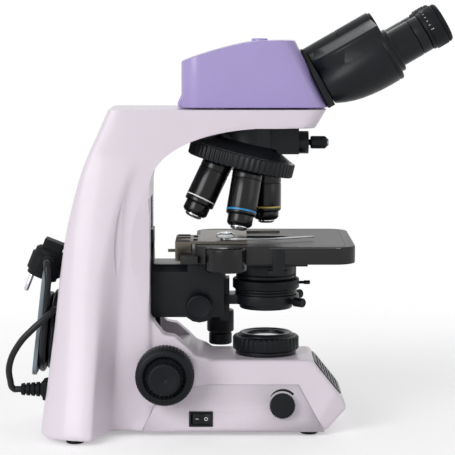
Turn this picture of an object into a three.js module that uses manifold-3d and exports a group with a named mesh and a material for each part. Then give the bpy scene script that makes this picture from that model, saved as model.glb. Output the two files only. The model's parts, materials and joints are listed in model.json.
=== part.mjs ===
// A compound light microscope with a binocular head, a five-place nosepiece, a mechanical stage and
// a built-in illuminator, in millimetres with +Z up. The eyepieces and the user are towards +X, the
// column is towards -X, and left and right are the user's, so the left side is -Y.
import * as THREE from "three";
import { ConvexGeometry } from "three/addons/geometries/ConvexGeometry.js";
import { mergeVertices } from "three/addons/utils/BufferGeometryUtils.js";
import Module from "manifold-3d";

const wasm = await Module();
wasm.setup();

// Driving dimensions, measured from the optical axis (X), the middle plane (Y) and the table (Z)
const GAP = 0.3; // clearance between pieces that touch
const OVERRUN = 2; // how far a cutting body runs past the surface that it cuts
const MERGE = 1e-3; // vertices nearer than this are one
const SIDES = { large: 24, medium: 16, small: 12, tiny: 8 };

const FOOT = { height: 4.4, radius: 9, bevel: 1, rearX: -186, rearY: 84, frontX: 42, frontY: 42 };

const COLUMN = {
  frontX: -114.5, halfWidth: 55, flare: 49, bandTopX: -124, bandLean: 26,
  tipTopX: -130, tipLean: 31, tipInset: 17, rearTopX: -152, rearLean: 69.5, rearRound: 0.55,
  wall: 8, cavityRearX: -185, cavityTop: 30, cavityLevels: 9,
};
// Share of the column's height, of its backward lean and of its sideways flare
const COLUMN_SHARES = [
  [0, 1, 1], [0.045, 0.971, 0.93], [0.13, 0.91, 0.77], [0.23, 0.856, 0.6], [0.32, 0.806, 0.47],
  [0.413, 0.755, 0.36], [0.508, 0.683, 0.27], [0.635, 0.583, 0.17], [0.793, 0.396, 0.07],
  [0.913, 0.209, 0.02], [1, 0, 0],
];
const ARM = {
  top: 320, underside: 302, noseTopX: 57.5, noseLowX: 47, archEndX: -10, archStartZ: 246,
  archSideX: -113, archSideZ: 272, archCrownX: -80, archCrownZ: 298,
};
const BASE = {
  top: 73, halfBottom: 57.5, halfTop: 41, toeX: 58.7, noseX: 79, noseLowZ: 25, noseHighX: 77,
  noseHighZ: 33, topFrontX: 44.7, noseHalf: 44, cornerX: 44, cavityFrontX: 52, cavityHalf: 36,
  cavityTop: 66, rearX: -130,
};
const SHOULDER = {
  rise: [[-114.5, 118], [-101, 100], [-90, 98], [-76.5, 86], [-70, 79], [-61, 77], [-50, 70]],
  low: 30, halfTop: 50, narrowX: -72, pocketHalf: 33.5, pocketFloor: 86,
};
const COVER = {
  panel: 2.5, floor: 2.6, floorHalf: 46, floorRearX: -196, lowRearX: -123, kneeX: -109.5,
  kneeZ: 33, highRearX: -101, highZ: 49.4, highFrontX: 31.5, lowFrontX: 57,
};
const GRILLE = { halfLength: 21, halfWidth: 36, corner: 10, depth: 2.7, proud: 1.6, slots: 7, slot: 2.2,
  slotHalf: 27, pitch: 5 };

const SWITCH = { x: -64.7, z: 16.6, width: 23.2, height: 15, depth: 13, lip: 1.3, rockerWidth: 17.8,
  rockerHeight: 10.6, rockerReach: 9, rockerCrown: 1.4, rockerTilt: 6.4, pivot: 3 };
const DIMMER = { x: 15.3, z: 29, radius: 12.2, length: 12.5, bevel: 1, shaftRadius: 3, shaftLength: 12 };
const INLET = { y: -35, z: 42.7, width: 28, height: 22, depth: 20, rearX: -212.6, wall: 2.2,
  recess: 12, pinRadius: 2, pinLength: 10, pinRise: 3, pinSpread: 7 };
const PORT = { flangeRadius: 30.5, flangeTop: 77.6, tubeRadius: 27.6, rimTop: 95, opening: 18,
  spigotRadius: 24, spigotLow: 60, ringOuter: 33.2, ringTop: 91.9, lensRadius: 21, lensLow: 84,
  lensEdge: 2.4, lensCrown: 2.8, lensSeat: 1.6, rimBevel: 1, rimRecess: 2, grips: 24, gripDepth: 0.9 };
const LAMP = { radius: 21, baseTop: 12, coreRadius: 9, finTop: 40, domeRadius: 6, fins: 2 };

const FOCUS = { x: -99.5, z: 63, tubeRadius: 5, tubeBore: 3.4, tubeProud: 4, shaftRadius: 3,
  pinionTeeth: 16, pinionRoot: 5.1, pinionTip: 6.35, pinionHalfWidth: 7, pitchRadius: 5.89, boreRadius: 5.6 };
const COARSE = { clear: 2, length: 27, radius: 28.7, rim: 25.2, step: 21.5, stepRise: 2.4,
  gripShare: 0.55, grips: 24, gripDepth: 0.9 };
const COARSE_START = COLUMN.halfWidth + COARSE.clear;
const FINE = { radius: 15.5, length: 11, dome: 2.4, neck: 7.5, socket: 7 };

const RAIL = { lowZ: 92, highZ: 232, topZ: 224, slotHalf: 25, backX: -141, webX: -135.6, sideHalf: 17.2,
  reachX: -124 };
const CARRIER = { rearX: -113.9, frontX: -42, half: 30, lowZ: 114, highZ: 166, tongueRearX: -134.8,
  tongueHalf: 16.4, tongueLowZ: 112, tongueHighZ: 200, bossRadius: 17.5, facetX: -76 };
const RACK = { toothTip: 5.45, toothDepth: 1.35, back: 4.5, half: 5.5, lowZ: 36, slotHalf: 8.5 };

const STAGE = { rearX: -70, frontX: 88, half: 82, corner: 20, lowZ: 173, highZ: 190, deck: 5, skirt: 4,
  slotRearX: -50, slotFrontX: 24, slotHalf: 15.5, runnerInner: 35, runnerOuter: 41 };
const BED = { rearX: -62, frontX: 40, half: 44, lowZ: 166.4, highZ: 172.6, holeRadius: 31.5 };
const CROSS = { x: -40, y: -76, radius: 20.5, lowZ: 166, rearX: -84, railLowZ: 173,
  railHighZ: 181, railHalf: 79 };
const BRACKET = { x: 10, width: 10.5, thick: 2, lowZ: 162.6, highZ: 187, flange: 19, flangeRise: 5 };
const HOLDER = { rearX: -89.5, frontX: -19.5, plate: 2.2, nearY: -58, farY: 46, armRearX: -66, lowZ: 181.4,
  jawFrontX: 15, jawWidth: 4, jawTaper: 6, jawRootWidth: 12, lap: 1, carriageNearY: -58,
  carriageFarY: 2, carriageDrop: 8, tabFrontX: -74, pinRadius: 1.6, pinLength: 8, pinInset: 6, pinRise: 2 };
const NUT = { x: -40.5, y: -42, radius: 8.8, rise: 5.2, grips: 16, gripDepth: 0.5, studRadius: 2.4 };
const FINGER = { thick: 1.7, rootRadius: 5.2, bendX: -15, bendY: -58, tipX: 46, tipY: -24, width: 6,
  tipWidth: 3, clear: 0.35 };
const STAGE_KNOBS = { x: -46, y: 73.5, upperRadius: 14, upperLow: 83, upperHigh: 106, lowerRadius: 12,
  lowerLow: 70, lowerHigh: 82, shaftRadius: 3.2, tubeRadius: 5.5, tubeBore: 3.6, grips: 16, gripDepth: 0.8,
  bossLow: 156, bossWall: 3, boreCap: 1 };
const STAGE_KNOBS_TOP = STAGE.highZ - STAGE.deck - STAGE_KNOBS.boreCap - 2 * GAP;

const CONDENSER = { ringLow: 125, ringHigh: 134, ringOuter: 33, ringInner: 27.4, plateFrontX: -36.6,
  plateHalf: 13, plateLow: 108, plateHigh: 150, armHalf: 16, spigotRadius: 26.6, spigotLow: 119.5,
  collarRadius: 31, collarTop: 139.2, coreRadius: 27, bodyRadius: 30, bodyLow: 150.4, bodyTop: 165.2,
  bevel: 1, noseRadius: 11, noseTop: 187.2, noseLength: 8, noseFoot: 14, postX: 24.6, postRadius: 5.6,
  slideDepth: 4 };
const IRIS = { outer: 33.4, lowZ: 139.6, highZ: 150, inner: 27.5, leverLength: 11, leverRoot: 2,
  leverRadius: 2, grips: 24, gripDepth: 0.7 };
const CENTRING = { angle: 42, radius: 2.2, headRadius: 4.6, boreStart: 21.2, start: 28.2, headStart: 37.5,
  end: 49, z: 128.6 };
const CONDENSER_KNOB = { x: -66.5, z: 126, radius: 12.5, start: 30.4, length: 15, bevel: 1.2,
  shaftRadius: 3, shaftReach: 14 };

const NOSEPIECE = {
  tilt: 14, apexZ: 367.7, seat: 112.9, port: 72, plateTop: 84, plateRadius: 30, coneRadius: 50,
  ringTop: 94.3, ringBottom: 108.3, ringRadius: 53.5, ringInner: 50.3, floorEdge: 49, floorRise: 104.2,
  floorTip: 116.4, skin: 4.8, floorSkin: 3.8, plateRim: 2, cavityRadius: 44, cavityTop: 88.5,
  cavityShoulder: 97.5, bearing: 9, grips: 24, gripDepth: 1.2, socketRadius: 10.2,
};
const MOUNT = { discRadius: 30, discX: -20, blockRearX: 10, blockFrontX: 32, blockHalf: 16, blockLow: 274.6,
  drumRadius: 11.3, drumFrontX: 42, drumZ: 285.6, lightBore: 10.5, boreLow: 258,
  hubRadius: 8.6, hubDrop: 2.2, hubRoot: 3, clear: 1 };
const CLAMP = { stemRadius: 3, gripRadius: 6.3, gripStartX: 44, gripEndX: 60.5, tipRadius: 4, tip: 1.6,
  lap: 1, flutes: 6, fluteDepth: 1.1, reach: 8 };
const OBJECTIVE = { radius: 15, thread: 9.6, threadDepth: 4, stepRadius: 12.6,
  chamfer: 1.4, tipRadius: 8.6, tipLength: 3.6, cone: 2.2, faceRadius: 6.4 };
const OBJECTIVES = [
  { name: "objective_4x", port: 1, length: 31, radius: 13.2, step: 9 },
  { name: "objective_10x", port: 0, length: 49.4, radius: 15, step: 12 },
  { name: "objective_40x", port: -1, length: 59.3, radius: 15, step: 14.4 },
  { name: "objective_100x", port: -2, length: 59.8, radius: 15, step: 14.4 },
];
const CAP = { radius: 13, height: 5, bevel: 1, port: 2 };

const DOVETAIL = { radius: 42, plate: 1.2, spigotRadius: 24, spigotDepth: 12, bore: 16 };
const HEAD = { gap: 0.3, rearX: -81, frontX: 59.5, rearTopZ: 370, crownX: -20, crownZ: 387.2, browX: 26.5,
  browZ: 388, half: 48, corner: 20, heelX: -88, heelTop: 335, heelHalf: 26, heelCorner: 5.2, wall: 3.2,
  capX: 16, capRadius: 8, capRise: 1.4 };
const WEDGE = { originX: 36.1, originZ: 378, tilt: 30, topN: 0.5, lowN: -61.5, half: 44, topHalf: 20,
  face: 0.3, topBack: 3.85, lowBack: 7.62 };
const HINGE = { n: -18, radius: 18, pinRadius: 6, length: 71.7, split: 35.85, lidRadius: 16.5, lid: 2.4 };
const BINO = { y: 31, n: -44, backRadius: 17.2, backU: 1, midRadius: 25.6, midU: 26, frontRadius: 28.4,
  frontU: 51, endU: 71.7, openAngle: 12.6, collarRadius: 22.4, collarEnd: 77, tubeRadius: 18.5,
  tubeEnd: 99, bore: 15.4, boreStart: 62, skinSides: 10 };
const EYEPIECE = { barrelRadius: 15, barrelStart: 80, flangeRadius: 18.3, flangeEnd: 109.6, neckRadius: 13.6,
  neckEnd: 127.6, lensBore: 9.5, lensTaper: 1, lensDepth: 5 };
const DIOPTER = { radius: 20.5, start: 110, end: 128, bore: 14, bevel: 1 };
const EYECUP = { start: 128.4, end: 133.6, radius: 20, lip: 15.6, inner: 12.6 };

const CORD = { diameter: 6.5, sides: 8, hankSides: 6, stepsPerTurn: 24, step: 7.5 };
// The hank lies in a plane that leans with the column; its middle is at x, z
const HANK = { x: -212.8, z: 96, tilt: 6.6, turns: 3, inner: 19.6, pitch: 7.05, layer: 7.1, climb: 80,
  leadTurn: 50 };
const HANGER = { thick: 4, half: 36, topZ: 158.6, lowZ: 53.8, corner: 12, coreRadius: 15.6, coreWall: 3,
  coreReach: 2.9, hankGap: 1, notchHalf: 17.5, notchZ: 126 };
const CONNECTOR = { width: 26, height: 22, gripLength: 8.4, noseWidth: 22.6, noseHeight: 16.6,
  noseLength: 16, bootRadius: 7.4, bootEnd: 5.4, bootLength: 22, ribs: 3, ribDepth: 1.3, lap: 1 };
// The plug is turned about Y, so that its pins point down and away from the column
const PLUG = { x: -225.2, y: -3, z: 151, tilt: 22, radius: 17.6, flat: 16, rim: 4.5, rimTop: 23,
  neckRadius: 16, shoulder: 30, gripHalfX: 10.2, gripHalfY: 11, gripTaper: 1, top: 39, pinRadius: 2.4,
  pinLength: 19, pinRoot: 1, pinSpread: 9.5, bootRadius: 5.8, bootEnd: 4.4, bootReach: 14.5,
  bootX: 1.6, bootRise: 20.4 };
// Points that the free stretches of the cord pass through, between the connector, hank and plug
const LEAD_ROUTE = [[-253.5, -40, 53], [-253, -46.5, 70], [-243.5, -50, 90], [-229, -51.5, 106],
  [-216.5, -50, 117], [-210, -43.5, 123]];
const TAIL_ROUTE = [[-216.6, -42.2, 134], [-214.6, -46, 152]];

const DEGREE = Math.PI / 180;

// Shapes: each returns a geometry whose own axis is Z

function lathe(profile, sides = SIDES.large) {
  const points = profile.map(([radius, height]) => new THREE.Vector2(radius, height));
  return new THREE.LatheGeometry(points, sides).rotateX(Math.PI / 2);
}

function disc(radius, low, high, sides = SIDES.large) {
  return lathe([[0, low], [radius, low], [radius, high], [0, high]], sides);
}

function ring(inner, outer, low, high, sides = SIDES.large) {
  return lathe([[inner, low], [outer, low], [outer, high], [inner, high], [inner, low]], sides);
}

// A ring whose rim has shallow finger grips all round
function grippedRing(inner, outer, low, high, grips, depth) {
  const rim = new THREE.Shape(gripOutline(outer, grips, depth));
  if (inner > 0) rim.holes.push(circlePath(inner, inner > BINO.tubeRadius ? SIDES.large : SIDES.small));
  return new THREE.ExtrudeGeometry(rim, { depth: high - low, bevelEnabled: false }).translate(0, 0, low);
}

function gripOutline(outer, grips, depth) {
  return Array.from({ length: 2 * grips }, (_, i) => {
    const radius = i % 2 ? outer - depth : outer;
    const angle = (i / (2 * grips)) * 2 * Math.PI;
    return new THREE.Vector2(radius * Math.cos(angle), radius * Math.sin(angle));
  });
}

function circlePath(radius, sides) {
  return new THREE.Path(
    Array.from({ length: sides }, (_, i) => {
      const angle = (i / sides) * 2 * Math.PI;
      return new THREE.Vector2(radius * Math.cos(angle), radius * Math.sin(angle));
    }),
  );
}

function box([x0, x1], [y0, y1], [z0, z1]) {
  return new THREE.BoxGeometry(x1 - x0, y1 - y0, z1 - z0).translate(
    (x0 + x1) / 2, (y0 + y1) / 2, (z0 + z1) / 2,
  );
}

function shapeOf(points) {
  return new THREE.Shape(points.map(([a, b]) => new THREE.Vector2(a, b)));
}

// A rectangle with round corners, as a flat shape
function roundedShape([a0, a1], [b0, b1], corner) {
  const shape = new THREE.Shape();
  shape.moveTo(a0 + corner, b0);
  shape.lineTo(a1 - corner, b0);
  shape.absarc(a1 - corner, b0 + corner, corner, -Math.PI / 2, 0);
  shape.lineTo(a1, b1 - corner);
  shape.absarc(a1 - corner, b1 - corner, corner, 0, Math.PI / 2);
  shape.lineTo(a0 + corner, b1);
  shape.absarc(a0 + corner, b1 - corner, corner, Math.PI / 2, Math.PI);
  shape.lineTo(a0, b0 + corner);
  shape.absarc(a0 + corner, b0 + corner, corner, Math.PI, 1.5 * Math.PI);
  return shape;
}

function extrude(shape, depth, curveSegments = 4) {
  return new THREE.ExtrudeGeometry(shape, { depth, bevelEnabled: false, curveSegments });
}

// A plan shape (X, Y) raised from low to high
function raised(shape, low, high, curveSegments) {
  return extrude(shape, high - low, curveSegments).translate(0, 0, low);
}

// A side view (X, Z) given its width along Y
function widened(shape, nearY, farY, curveSegments) {
  return extrude(shape, farY - nearY, curveSegments).rotateX(Math.PI / 2).translate(0, farY, 0);
}

// A front view (Y, Z) run along X
function lengthened(shape, fromX, toX, curveSegments) {
  return extrude(shape, toX - fromX, curveSegments)
    .rotateX(Math.PI / 2)
    .rotateZ(Math.PI / 2)
    .translate(fromX, 0, 0);
}

// A closed skin through rings of equally many points, counter-clockwise from above, with flat ends
function loft(rings) {
  const count = rings[0].length;
  const index = [];
  for (let level = 0; level + 1 < rings.length; level++) {
    for (let i = 0; i < count; i++) {
      const a = level * count + i;
      const b = level * count + ((i + 1) % count);
      index.push(a, b, b + count, a, b + count, a + count);
    }
  }
  const last = (rings.length - 1) * count;
  for (const [a, b, c] of THREE.ShapeUtils.triangulateShape(flat(rings[0]), [])) index.push(c, b, a);
  for (const [a, b, c] of THREE.ShapeUtils.triangulateShape(flat(rings.at(-1)), [])) {
    index.push(last + a, last + b, last + c);
  }
  const geometry = new THREE.BufferGeometry().setFromPoints(rings.flat());
  return geometry.setIndex(index);
}

function flat(ringPoints) {
  return ringPoints.map((p) => new THREE.Vector2(p.x, p.y));
}

// Joins and cuts

function toSolid(geometry) {
  const bare = new THREE.BufferGeometry();
  bare.setAttribute("position", geometry.getAttribute("position").clone());
  if (geometry.index) bare.setIndex(geometry.index.clone());
  const merged = mergeVertices(bare, MERGE);
  return new wasm.Manifold(
    new wasm.Mesh({
      numProp: 3,
      vertProperties: merged.getAttribute("position").array,
      triVerts: new Uint32Array(merged.index.array),
    }),
  );
}

function toGeometry(solid) {
  const { vertProperties, triVerts } = solid.getMesh();
  const geometry = new THREE.BufferGeometry();
  geometry.setAttribute("position", new THREE.BufferAttribute(vertProperties, 3));
  return geometry.setIndex(new THREE.BufferAttribute(triVerts, 1));
}

const join = (...parts) => toGeometry(parts.map(toSolid).reduce((a, b) => a.add(b)));
const shared = (...parts) => toGeometry(parts.map(toSolid).reduce((a, b) => a.intersect(b)));
const cut = (body, ...tools) =>
  toGeometry(tools.map(toSolid).reduce((a, b) => a.subtract(b), toSolid(body)));

// Materials

function finish(color, roughness, metalness = 0) {
  return new THREE.MeshStandardMaterial({ color, roughness, metalness });
}
const FINISH = {
  enamel: finish(0xe4dce6, 0.45),
  lilac: finish(0xaa9bd2, 0.45),
  black: finish(0x14161b, 0.45),
  satin: finish(0x1d2128, 0.4),
  knob: finish(0x171b20, 0.6),
  deck: finish(0x3a3a3c, 0.5),
  rubber: finish(0x0c0c0d, 0.8),
  chrome: finish(0xd2d4d6, 0.15, 1),
  steel: finish(0x9aa0a4, 0.35, 1),
  brass: finish(0xb79a55, 0.35, 1),
  glass: finish(0xe8f0f4, 0.05),
  grey: finish(0x8f9aa1, 0.5),
};

function add(parent, name, geometry, material) {
  const mesh = new THREE.Mesh(toGeometry(toSolid(geometry)), material);
  mesh.name = name;
  parent.add(mesh);
  return mesh;
}

function groupAt(parent, x, y, z) {
  const group = new THREE.Group();
  group.position.set(x, y, z);
  parent.add(group);
  return group;
}

// Stand: base, column and arm in one casting, hollow below

// A level outline of the column, drawn in by inset
function columnRing([heightShare, leanShare, flareShare], inset = 0) {
  const z = FOOT.height + heightShare * (ARM.top - FOOT.height);
  const rear = COLUMN.rearTopX - leanShare * COLUMN.rearLean + inset;
  const flat = COLUMN.halfWidth - inset;
  const half = flat + flareShare * COLUMN.flare;
  const band = COLUMN.bandTopX - leanShare * COLUMN.bandLean - inset;
  const tip = COLUMN.tipTopX - leanShare * COLUMN.tipLean - inset;
  const heel = rear + COLUMN.tipInset;
  const side = new THREE.Path();
  side.moveTo(COLUMN.frontX - inset, flat);
  side.lineTo(band, flat);
  side.quadraticCurveTo((band + tip) / 2, flat, tip, half);
  side.lineTo(heel, half);
  side.quadraticCurveTo(rear, COLUMN.rearRound * half, rear, 0);
  const right = side.getPoints(4);
  const left = right.slice(0, -1).reverse();
  return [
    ...right.map((p) => new THREE.Vector3(p.x, p.y, z)),
    ...left.map((p) => new THREE.Vector3(p.x, -p.y, z)),
  ];
}

function armShape() {
  const inside = COLUMN.frontX - COLUMN.wall;
  const shape = new THREE.Shape();
  shape.moveTo(inside, ARM.top);
  shape.lineTo(inside, ARM.archStartZ);
  shape.lineTo(COLUMN.frontX, ARM.archStartZ);
  shape.bezierCurveTo(
    ARM.archSideX, ARM.archSideZ, ARM.archCrownX, ARM.archCrownZ, ARM.archEndX, ARM.underside,
  );
  shape.lineTo(ARM.noseLowX, ARM.underside);
  shape.lineTo(ARM.noseTopX, ARM.top);
  return shape;
}

// The base's sloped sides, drawn in by inset
function baseSection(inset) {
  return lengthened(
    shapeOf([
      [-BASE.halfBottom + inset, FOOT.height], [BASE.halfBottom - inset, FOOT.height],
      [BASE.halfTop - inset, BASE.top], [-BASE.halfTop + inset, BASE.top],
    ]),
    BASE.rearX, BASE.noseX + OVERRUN,
  );
}

function baseBody() {
  const profile = shapeOf([
    [BASE.rearX, FOOT.height], [BASE.toeX, FOOT.height], [BASE.noseX, BASE.noseLowZ],
    [BASE.noseHighX, BASE.noseHighZ], [BASE.topFrontX, BASE.top], [BASE.rearX, BASE.top],
  ]);
  const plan = shapeOf([
    [BASE.rearX, -BASE.halfBottom], [BASE.cornerX, -BASE.halfBottom], [BASE.noseX, -BASE.noseHalf],
    [BASE.noseX, BASE.noseHalf], [BASE.cornerX, BASE.halfBottom], [BASE.rearX, BASE.halfBottom],
  ]);
  return shared(
    widened(profile, -BASE.halfBottom, BASE.halfBottom),
    baseSection(0),
    raised(plan, FOOT.height, BASE.top),
  );
}

function shoulderBody() {
  const first = SHOULDER.rise[0];
  const last = SHOULDER.rise.at(-1);
  const inside = COLUMN.frontX - COLUMN.wall;
  const profile = shapeOf([
    [inside, SHOULDER.low], [inside, first[1]], ...SHOULDER.rise, [last[0], SHOULDER.low],
  ]);
  const section = shapeOf([
    [-COLUMN.halfWidth, SHOULDER.low], [COLUMN.halfWidth, SHOULDER.low],
    [SHOULDER.halfTop, first[1]], [-SHOULDER.halfTop, first[1]],
  ]);
  const plan = shapeOf([
    [inside, -COLUMN.halfWidth], [SHOULDER.narrowX, -COLUMN.halfWidth], [last[0], -BASE.halfTop],
    [last[0], BASE.halfTop], [SHOULDER.narrowX, COLUMN.halfWidth], [inside, COLUMN.halfWidth],
  ]);
  return shared(
    widened(profile, -COLUMN.halfWidth, COLUMN.halfWidth),
    lengthened(section, inside, last[0]),
    raised(plan, SHOULDER.low, first[1]),
  );
}

// The side view of the removable cover, drawn in by inset
function coverShape(inset) {
  return shapeOf([
    [COVER.lowRearX + inset, FOOT.height], [COVER.kneeX + inset, COVER.kneeZ],
    [COVER.highRearX + inset, COVER.highZ - inset], [COVER.highFrontX - inset, COVER.highZ - inset],
    [COVER.lowFrontX - inset, FOOT.height],
  ]);
}

function coverFloor(gap) {
  const shape = roundedShape(
    [COVER.floorRearX - gap, COVER.lowFrontX + gap], [-COVER.floorHalf - gap, COVER.floorHalf + gap],
    GRILLE.corner,
  );
  return raised(shape, FOOT.height - (gap ? OVERRUN : 0), FOOT.height + COVER.floor + gap, 3);
}

function standFrame() {
  const cavityFloor = FOOT.height - OVERRUN;
  const cavityHalf = COLUMN.halfWidth - COLUMN.wall;
  const casting = join(
    loft(COLUMN_SHARES.map((shares) => columnRing(shares))),
    widened(armShape(), -COLUMN.halfWidth, COLUMN.halfWidth, 9),
    baseBody(),
    shoulderBody(),
  );
  const coverWidth = COLUMN.halfWidth + COLUMN.flare;
  const coverRecess = cut(
    widened(coverShape(0), -coverWidth, coverWidth),
    baseSection(COVER.panel + GAP),
  );
  return cut(
    casting,
    loft(COLUMN_SHARES.slice(1, COLUMN.cavityLevels).map((shares) => columnRing(shares, COLUMN.wall))),
    box([COLUMN.cavityRearX, COLUMN.frontX - COLUMN.wall], [-cavityHalf, cavityHalf],
      [cavityFloor, COLUMN.cavityTop]),
    box([COLUMN.frontX - COLUMN.wall - OVERRUN, BASE.cavityFrontX], [-BASE.cavityHalf, BASE.cavityHalf],
      [cavityFloor, BASE.cavityTop]),
    box([COLUMN.frontX - COLUMN.wall - OVERRUN, COLUMN.frontX + OVERRUN], [-RAIL.slotHalf, RAIL.slotHalf],
      [RAIL.lowZ, RAIL.highZ]),
    box([COLUMN.frontX, SHOULDER.rise.at(-1)[0]], [-SHOULDER.pocketHalf, SHOULDER.pocketHalf],
      [SHOULDER.pocketFloor, SHOULDER.rise[0][1] + OVERRUN]),
    box([FOCUS.x - FOCUS.pinionTip - RACK.toothDepth - RACK.back - OVERRUN, FOCUS.x + FOCUS.pinionTip],
      [-RACK.slotHalf, RACK.slotHalf], [BASE.cavityTop - OVERRUN, SHOULDER.pocketFloor + OVERRUN]),
    disc(FOCUS.boreRadius, -COARSE_START - COLUMN.flare, COARSE_START + COLUMN.flare, SIDES.small)
      .rotateX(Math.PI / 2).translate(FOCUS.x, 0, FOCUS.z),
    coverRecess,
    coverFloor(GAP),
    box([COVER.lowRearX, COVER.lowFrontX], [-coverWidth, coverWidth],
      [cavityFloor, FOOT.height + COVER.floor + GAP]),
    onLeftSide(switchBlank(SWITCH.width + 2 * GAP, SWITCH.height + 2 * GAP,
      BASE.cavityHalf - BASE.halfBottom - OVERRUN, OVERRUN), SWITCH.x, SWITCH.z),
    onLeftSide(disc(DIMMER.shaftRadius + GAP, BASE.cavityHalf - BASE.halfBottom - OVERRUN, OVERRUN,
      SIDES.tiny), DIMMER.x, DIMMER.z),
    disc(PORT.spigotRadius + GAP, BASE.cavityTop - OVERRUN, BASE.top + OVERRUN),
    disc(DOVETAIL.spigotRadius + GAP, ARM.top - DOVETAIL.spigotDepth - GAP, ARM.top + OVERRUN),
    disc(MOUNT.lightBore, ARM.underside - OVERRUN, ARM.top, SIDES.small),
    disc(MOUNT.discRadius + GAP, ARM.archStartZ, ARM.underside).translate(MOUNT.discX, 0, 0),
    grillePlaced(grilleBlank(GRILLE.depth + GAP, OVERRUN, GAP)),
    inletBlank(GAP),
  );
}

// The front opening follows the slope between the nose and the top
function grillePlaced(geometry) {
  const runX = BASE.noseHighX - BASE.topFrontX;
  const runZ = BASE.top - BASE.noseHighZ;
  return geometry
    .rotateY(Math.atan2(runZ, runX))
    .translate(BASE.topFrontX + runX / 2, 0, BASE.noseHighZ + runZ / 2);
}

function grilleBlank(depth, proud, gap) {
  const shape = roundedShape(
    [-GRILLE.halfLength - gap, GRILLE.halfLength + gap], [-GRILLE.halfWidth - gap, GRILLE.halfWidth + gap],
    GRILLE.corner,
  );
  return raised(shape, -depth, proud, 3);
}

function frontGrille() {
  const first = -0.5 * (GRILLE.slots - 1) * GRILLE.pitch;
  const slots = Array.from({ length: GRILLE.slots }, (_, i) => {
    const x = first + i * GRILLE.pitch;
    return box([x - GRILLE.slot / 2, x + GRILLE.slot / 2], [-GRILLE.slotHalf, GRILLE.slotHalf],
      [-GRILLE.depth / 2, GRILLE.proud + OVERRUN]);
  });
  return grillePlaced(cut(grilleBlank(GRILLE.depth, GRILLE.proud, 0), ...slots));
}

// Places a geometry, whose Z points outwards, on the base's left side at x and height z
const SIDE_TILT = Math.atan2(BASE.halfBottom - BASE.halfTop, BASE.top - FOOT.height);
function onLeftSide(geometry, x, z) {
  const y = -BASE.halfBottom + (z - FOOT.height) * Math.tan(SIDE_TILT);
  return geometry.rotateX(Math.PI / 2 - SIDE_TILT).translate(x, y, z);
}

function switchBlank(width, height, low, high) {
  return box([-width / 2, width / 2], [-height / 2, height / 2], [low, high]);
}

function baseCover() {
  const width = BASE.halfBottom + OVERRUN;
  const panels = cut(
    shared(widened(coverShape(GAP), -width, width), baseSection(0)),
    baseSection(COVER.panel),
  );
  const floor = raised(
    roundedShape([COVER.floorRearX, COVER.lowFrontX - GAP], [-COVER.floorHalf, COVER.floorHalf],
      GRILLE.corner),
    FOOT.height, FOOT.height + COVER.floor, 3,
  );
  const sill = shared(
    baseSection(0),
    box([COVER.lowRearX + COVER.panel, COVER.lowFrontX - COVER.floor - GAP], [-width, width],
      [FOOT.height, FOOT.height + COVER.floor]),
  );
  return cut(
    join(panels, sill, floor),
    onLeftSide(switchBlank(SWITCH.width + GAP, SWITCH.height + GAP, -SWITCH.depth, OVERRUN),
      SWITCH.x, SWITCH.z),
    onLeftSide(disc(DIMMER.shaftRadius + GAP, -SWITCH.depth, OVERRUN, SIDES.tiny), DIMMER.x, DIMMER.z),
  );
}

function switchBezel() {
  const body = switchBlank(SWITCH.width - GAP, SWITCH.height - GAP, -SWITCH.depth, SWITCH.lip);
  const window = switchBlank(SWITCH.rockerWidth + 4 * GAP, SWITCH.rockerHeight + 2 * GAP,
    -SWITCH.rockerReach, SWITCH.lip + OVERRUN);
  return onLeftSide(cut(body, window), SWITCH.x, SWITCH.z);
}

// The rocker's outer face is a shallow V, tipped about its pivot so that one half stands proud
function powerRocker() {
  const half = SWITCH.rockerWidth / 2;
  const face = SWITCH.lip + SWITCH.rockerCrown;
  const low = -SWITCH.rockerReach + SWITCH.rockerCrown + 2 * GAP;
  const shape = shapeOf([
    [-half, face], [0, SWITCH.lip - SWITCH.rockerCrown / 2], [half, face],
    [half / 2, low], [-half / 2, low],
  ]);
  const rocker = widened(shape, -SWITCH.rockerHeight / 2, SWITCH.rockerHeight / 2)
    .translate(0, 0, SWITCH.pivot).rotateY(SWITCH.rockerTilt * DEGREE).translate(0, 0, -SWITCH.pivot);
  return onLeftSide(rocker, SWITCH.x, SWITCH.z);
}

function brightnessKnob() {
  const knob = join(
    grippedRing(0, DIMMER.radius, GAP, DIMMER.length - DIMMER.bevel, SIDES.medium, GRILLE.slot / 4),
    disc(DIMMER.radius - DIMMER.bevel, DIMMER.length / 2, DIMMER.length, SIDES.medium),
    disc(DIMMER.shaftRadius, -DIMMER.shaftLength, GAP + DIMMER.bevel, SIDES.tiny),
  );
  return onLeftSide(knob, DIMMER.x, DIMMER.z);
}

function inletBlank(gap) {
  return box(
    [INLET.rearX - INLET.recess, INLET.rearX + INLET.depth + gap],
    [INLET.y - INLET.width / 2 - gap, INLET.y + INLET.width / 2 + gap],
    [INLET.z - INLET.height / 2 - gap, INLET.z + INLET.height / 2 + gap],
  );
}

function powerInlet() {
  const { y, z, width, height, wall } = INLET;
  const shell = box([INLET.rearX, INLET.rearX + INLET.depth], [y - width / 2, y + width / 2],
    [z - height / 2, z + height / 2]);
  const well = box([INLET.rearX - OVERRUN, INLET.rearX + INLET.depth - wall],
    [y - width / 2 + wall, y + width / 2 - wall], [z - height / 2 + wall, z + height / 2 - wall]);
  const pins = [[-1, -1], [0, 1], [1, -1]].map(([across, up]) =>
    disc(INLET.pinRadius, 0, INLET.pinLength + wall / 2, SIDES.tiny).rotateY(Math.PI / 2)
      .translate(INLET.rearX + INLET.depth - wall - INLET.pinLength,
        y + across * INLET.pinSpread, z + up * INLET.pinRise));
  return join(cut(shell, well), ...pins);
}

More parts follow.
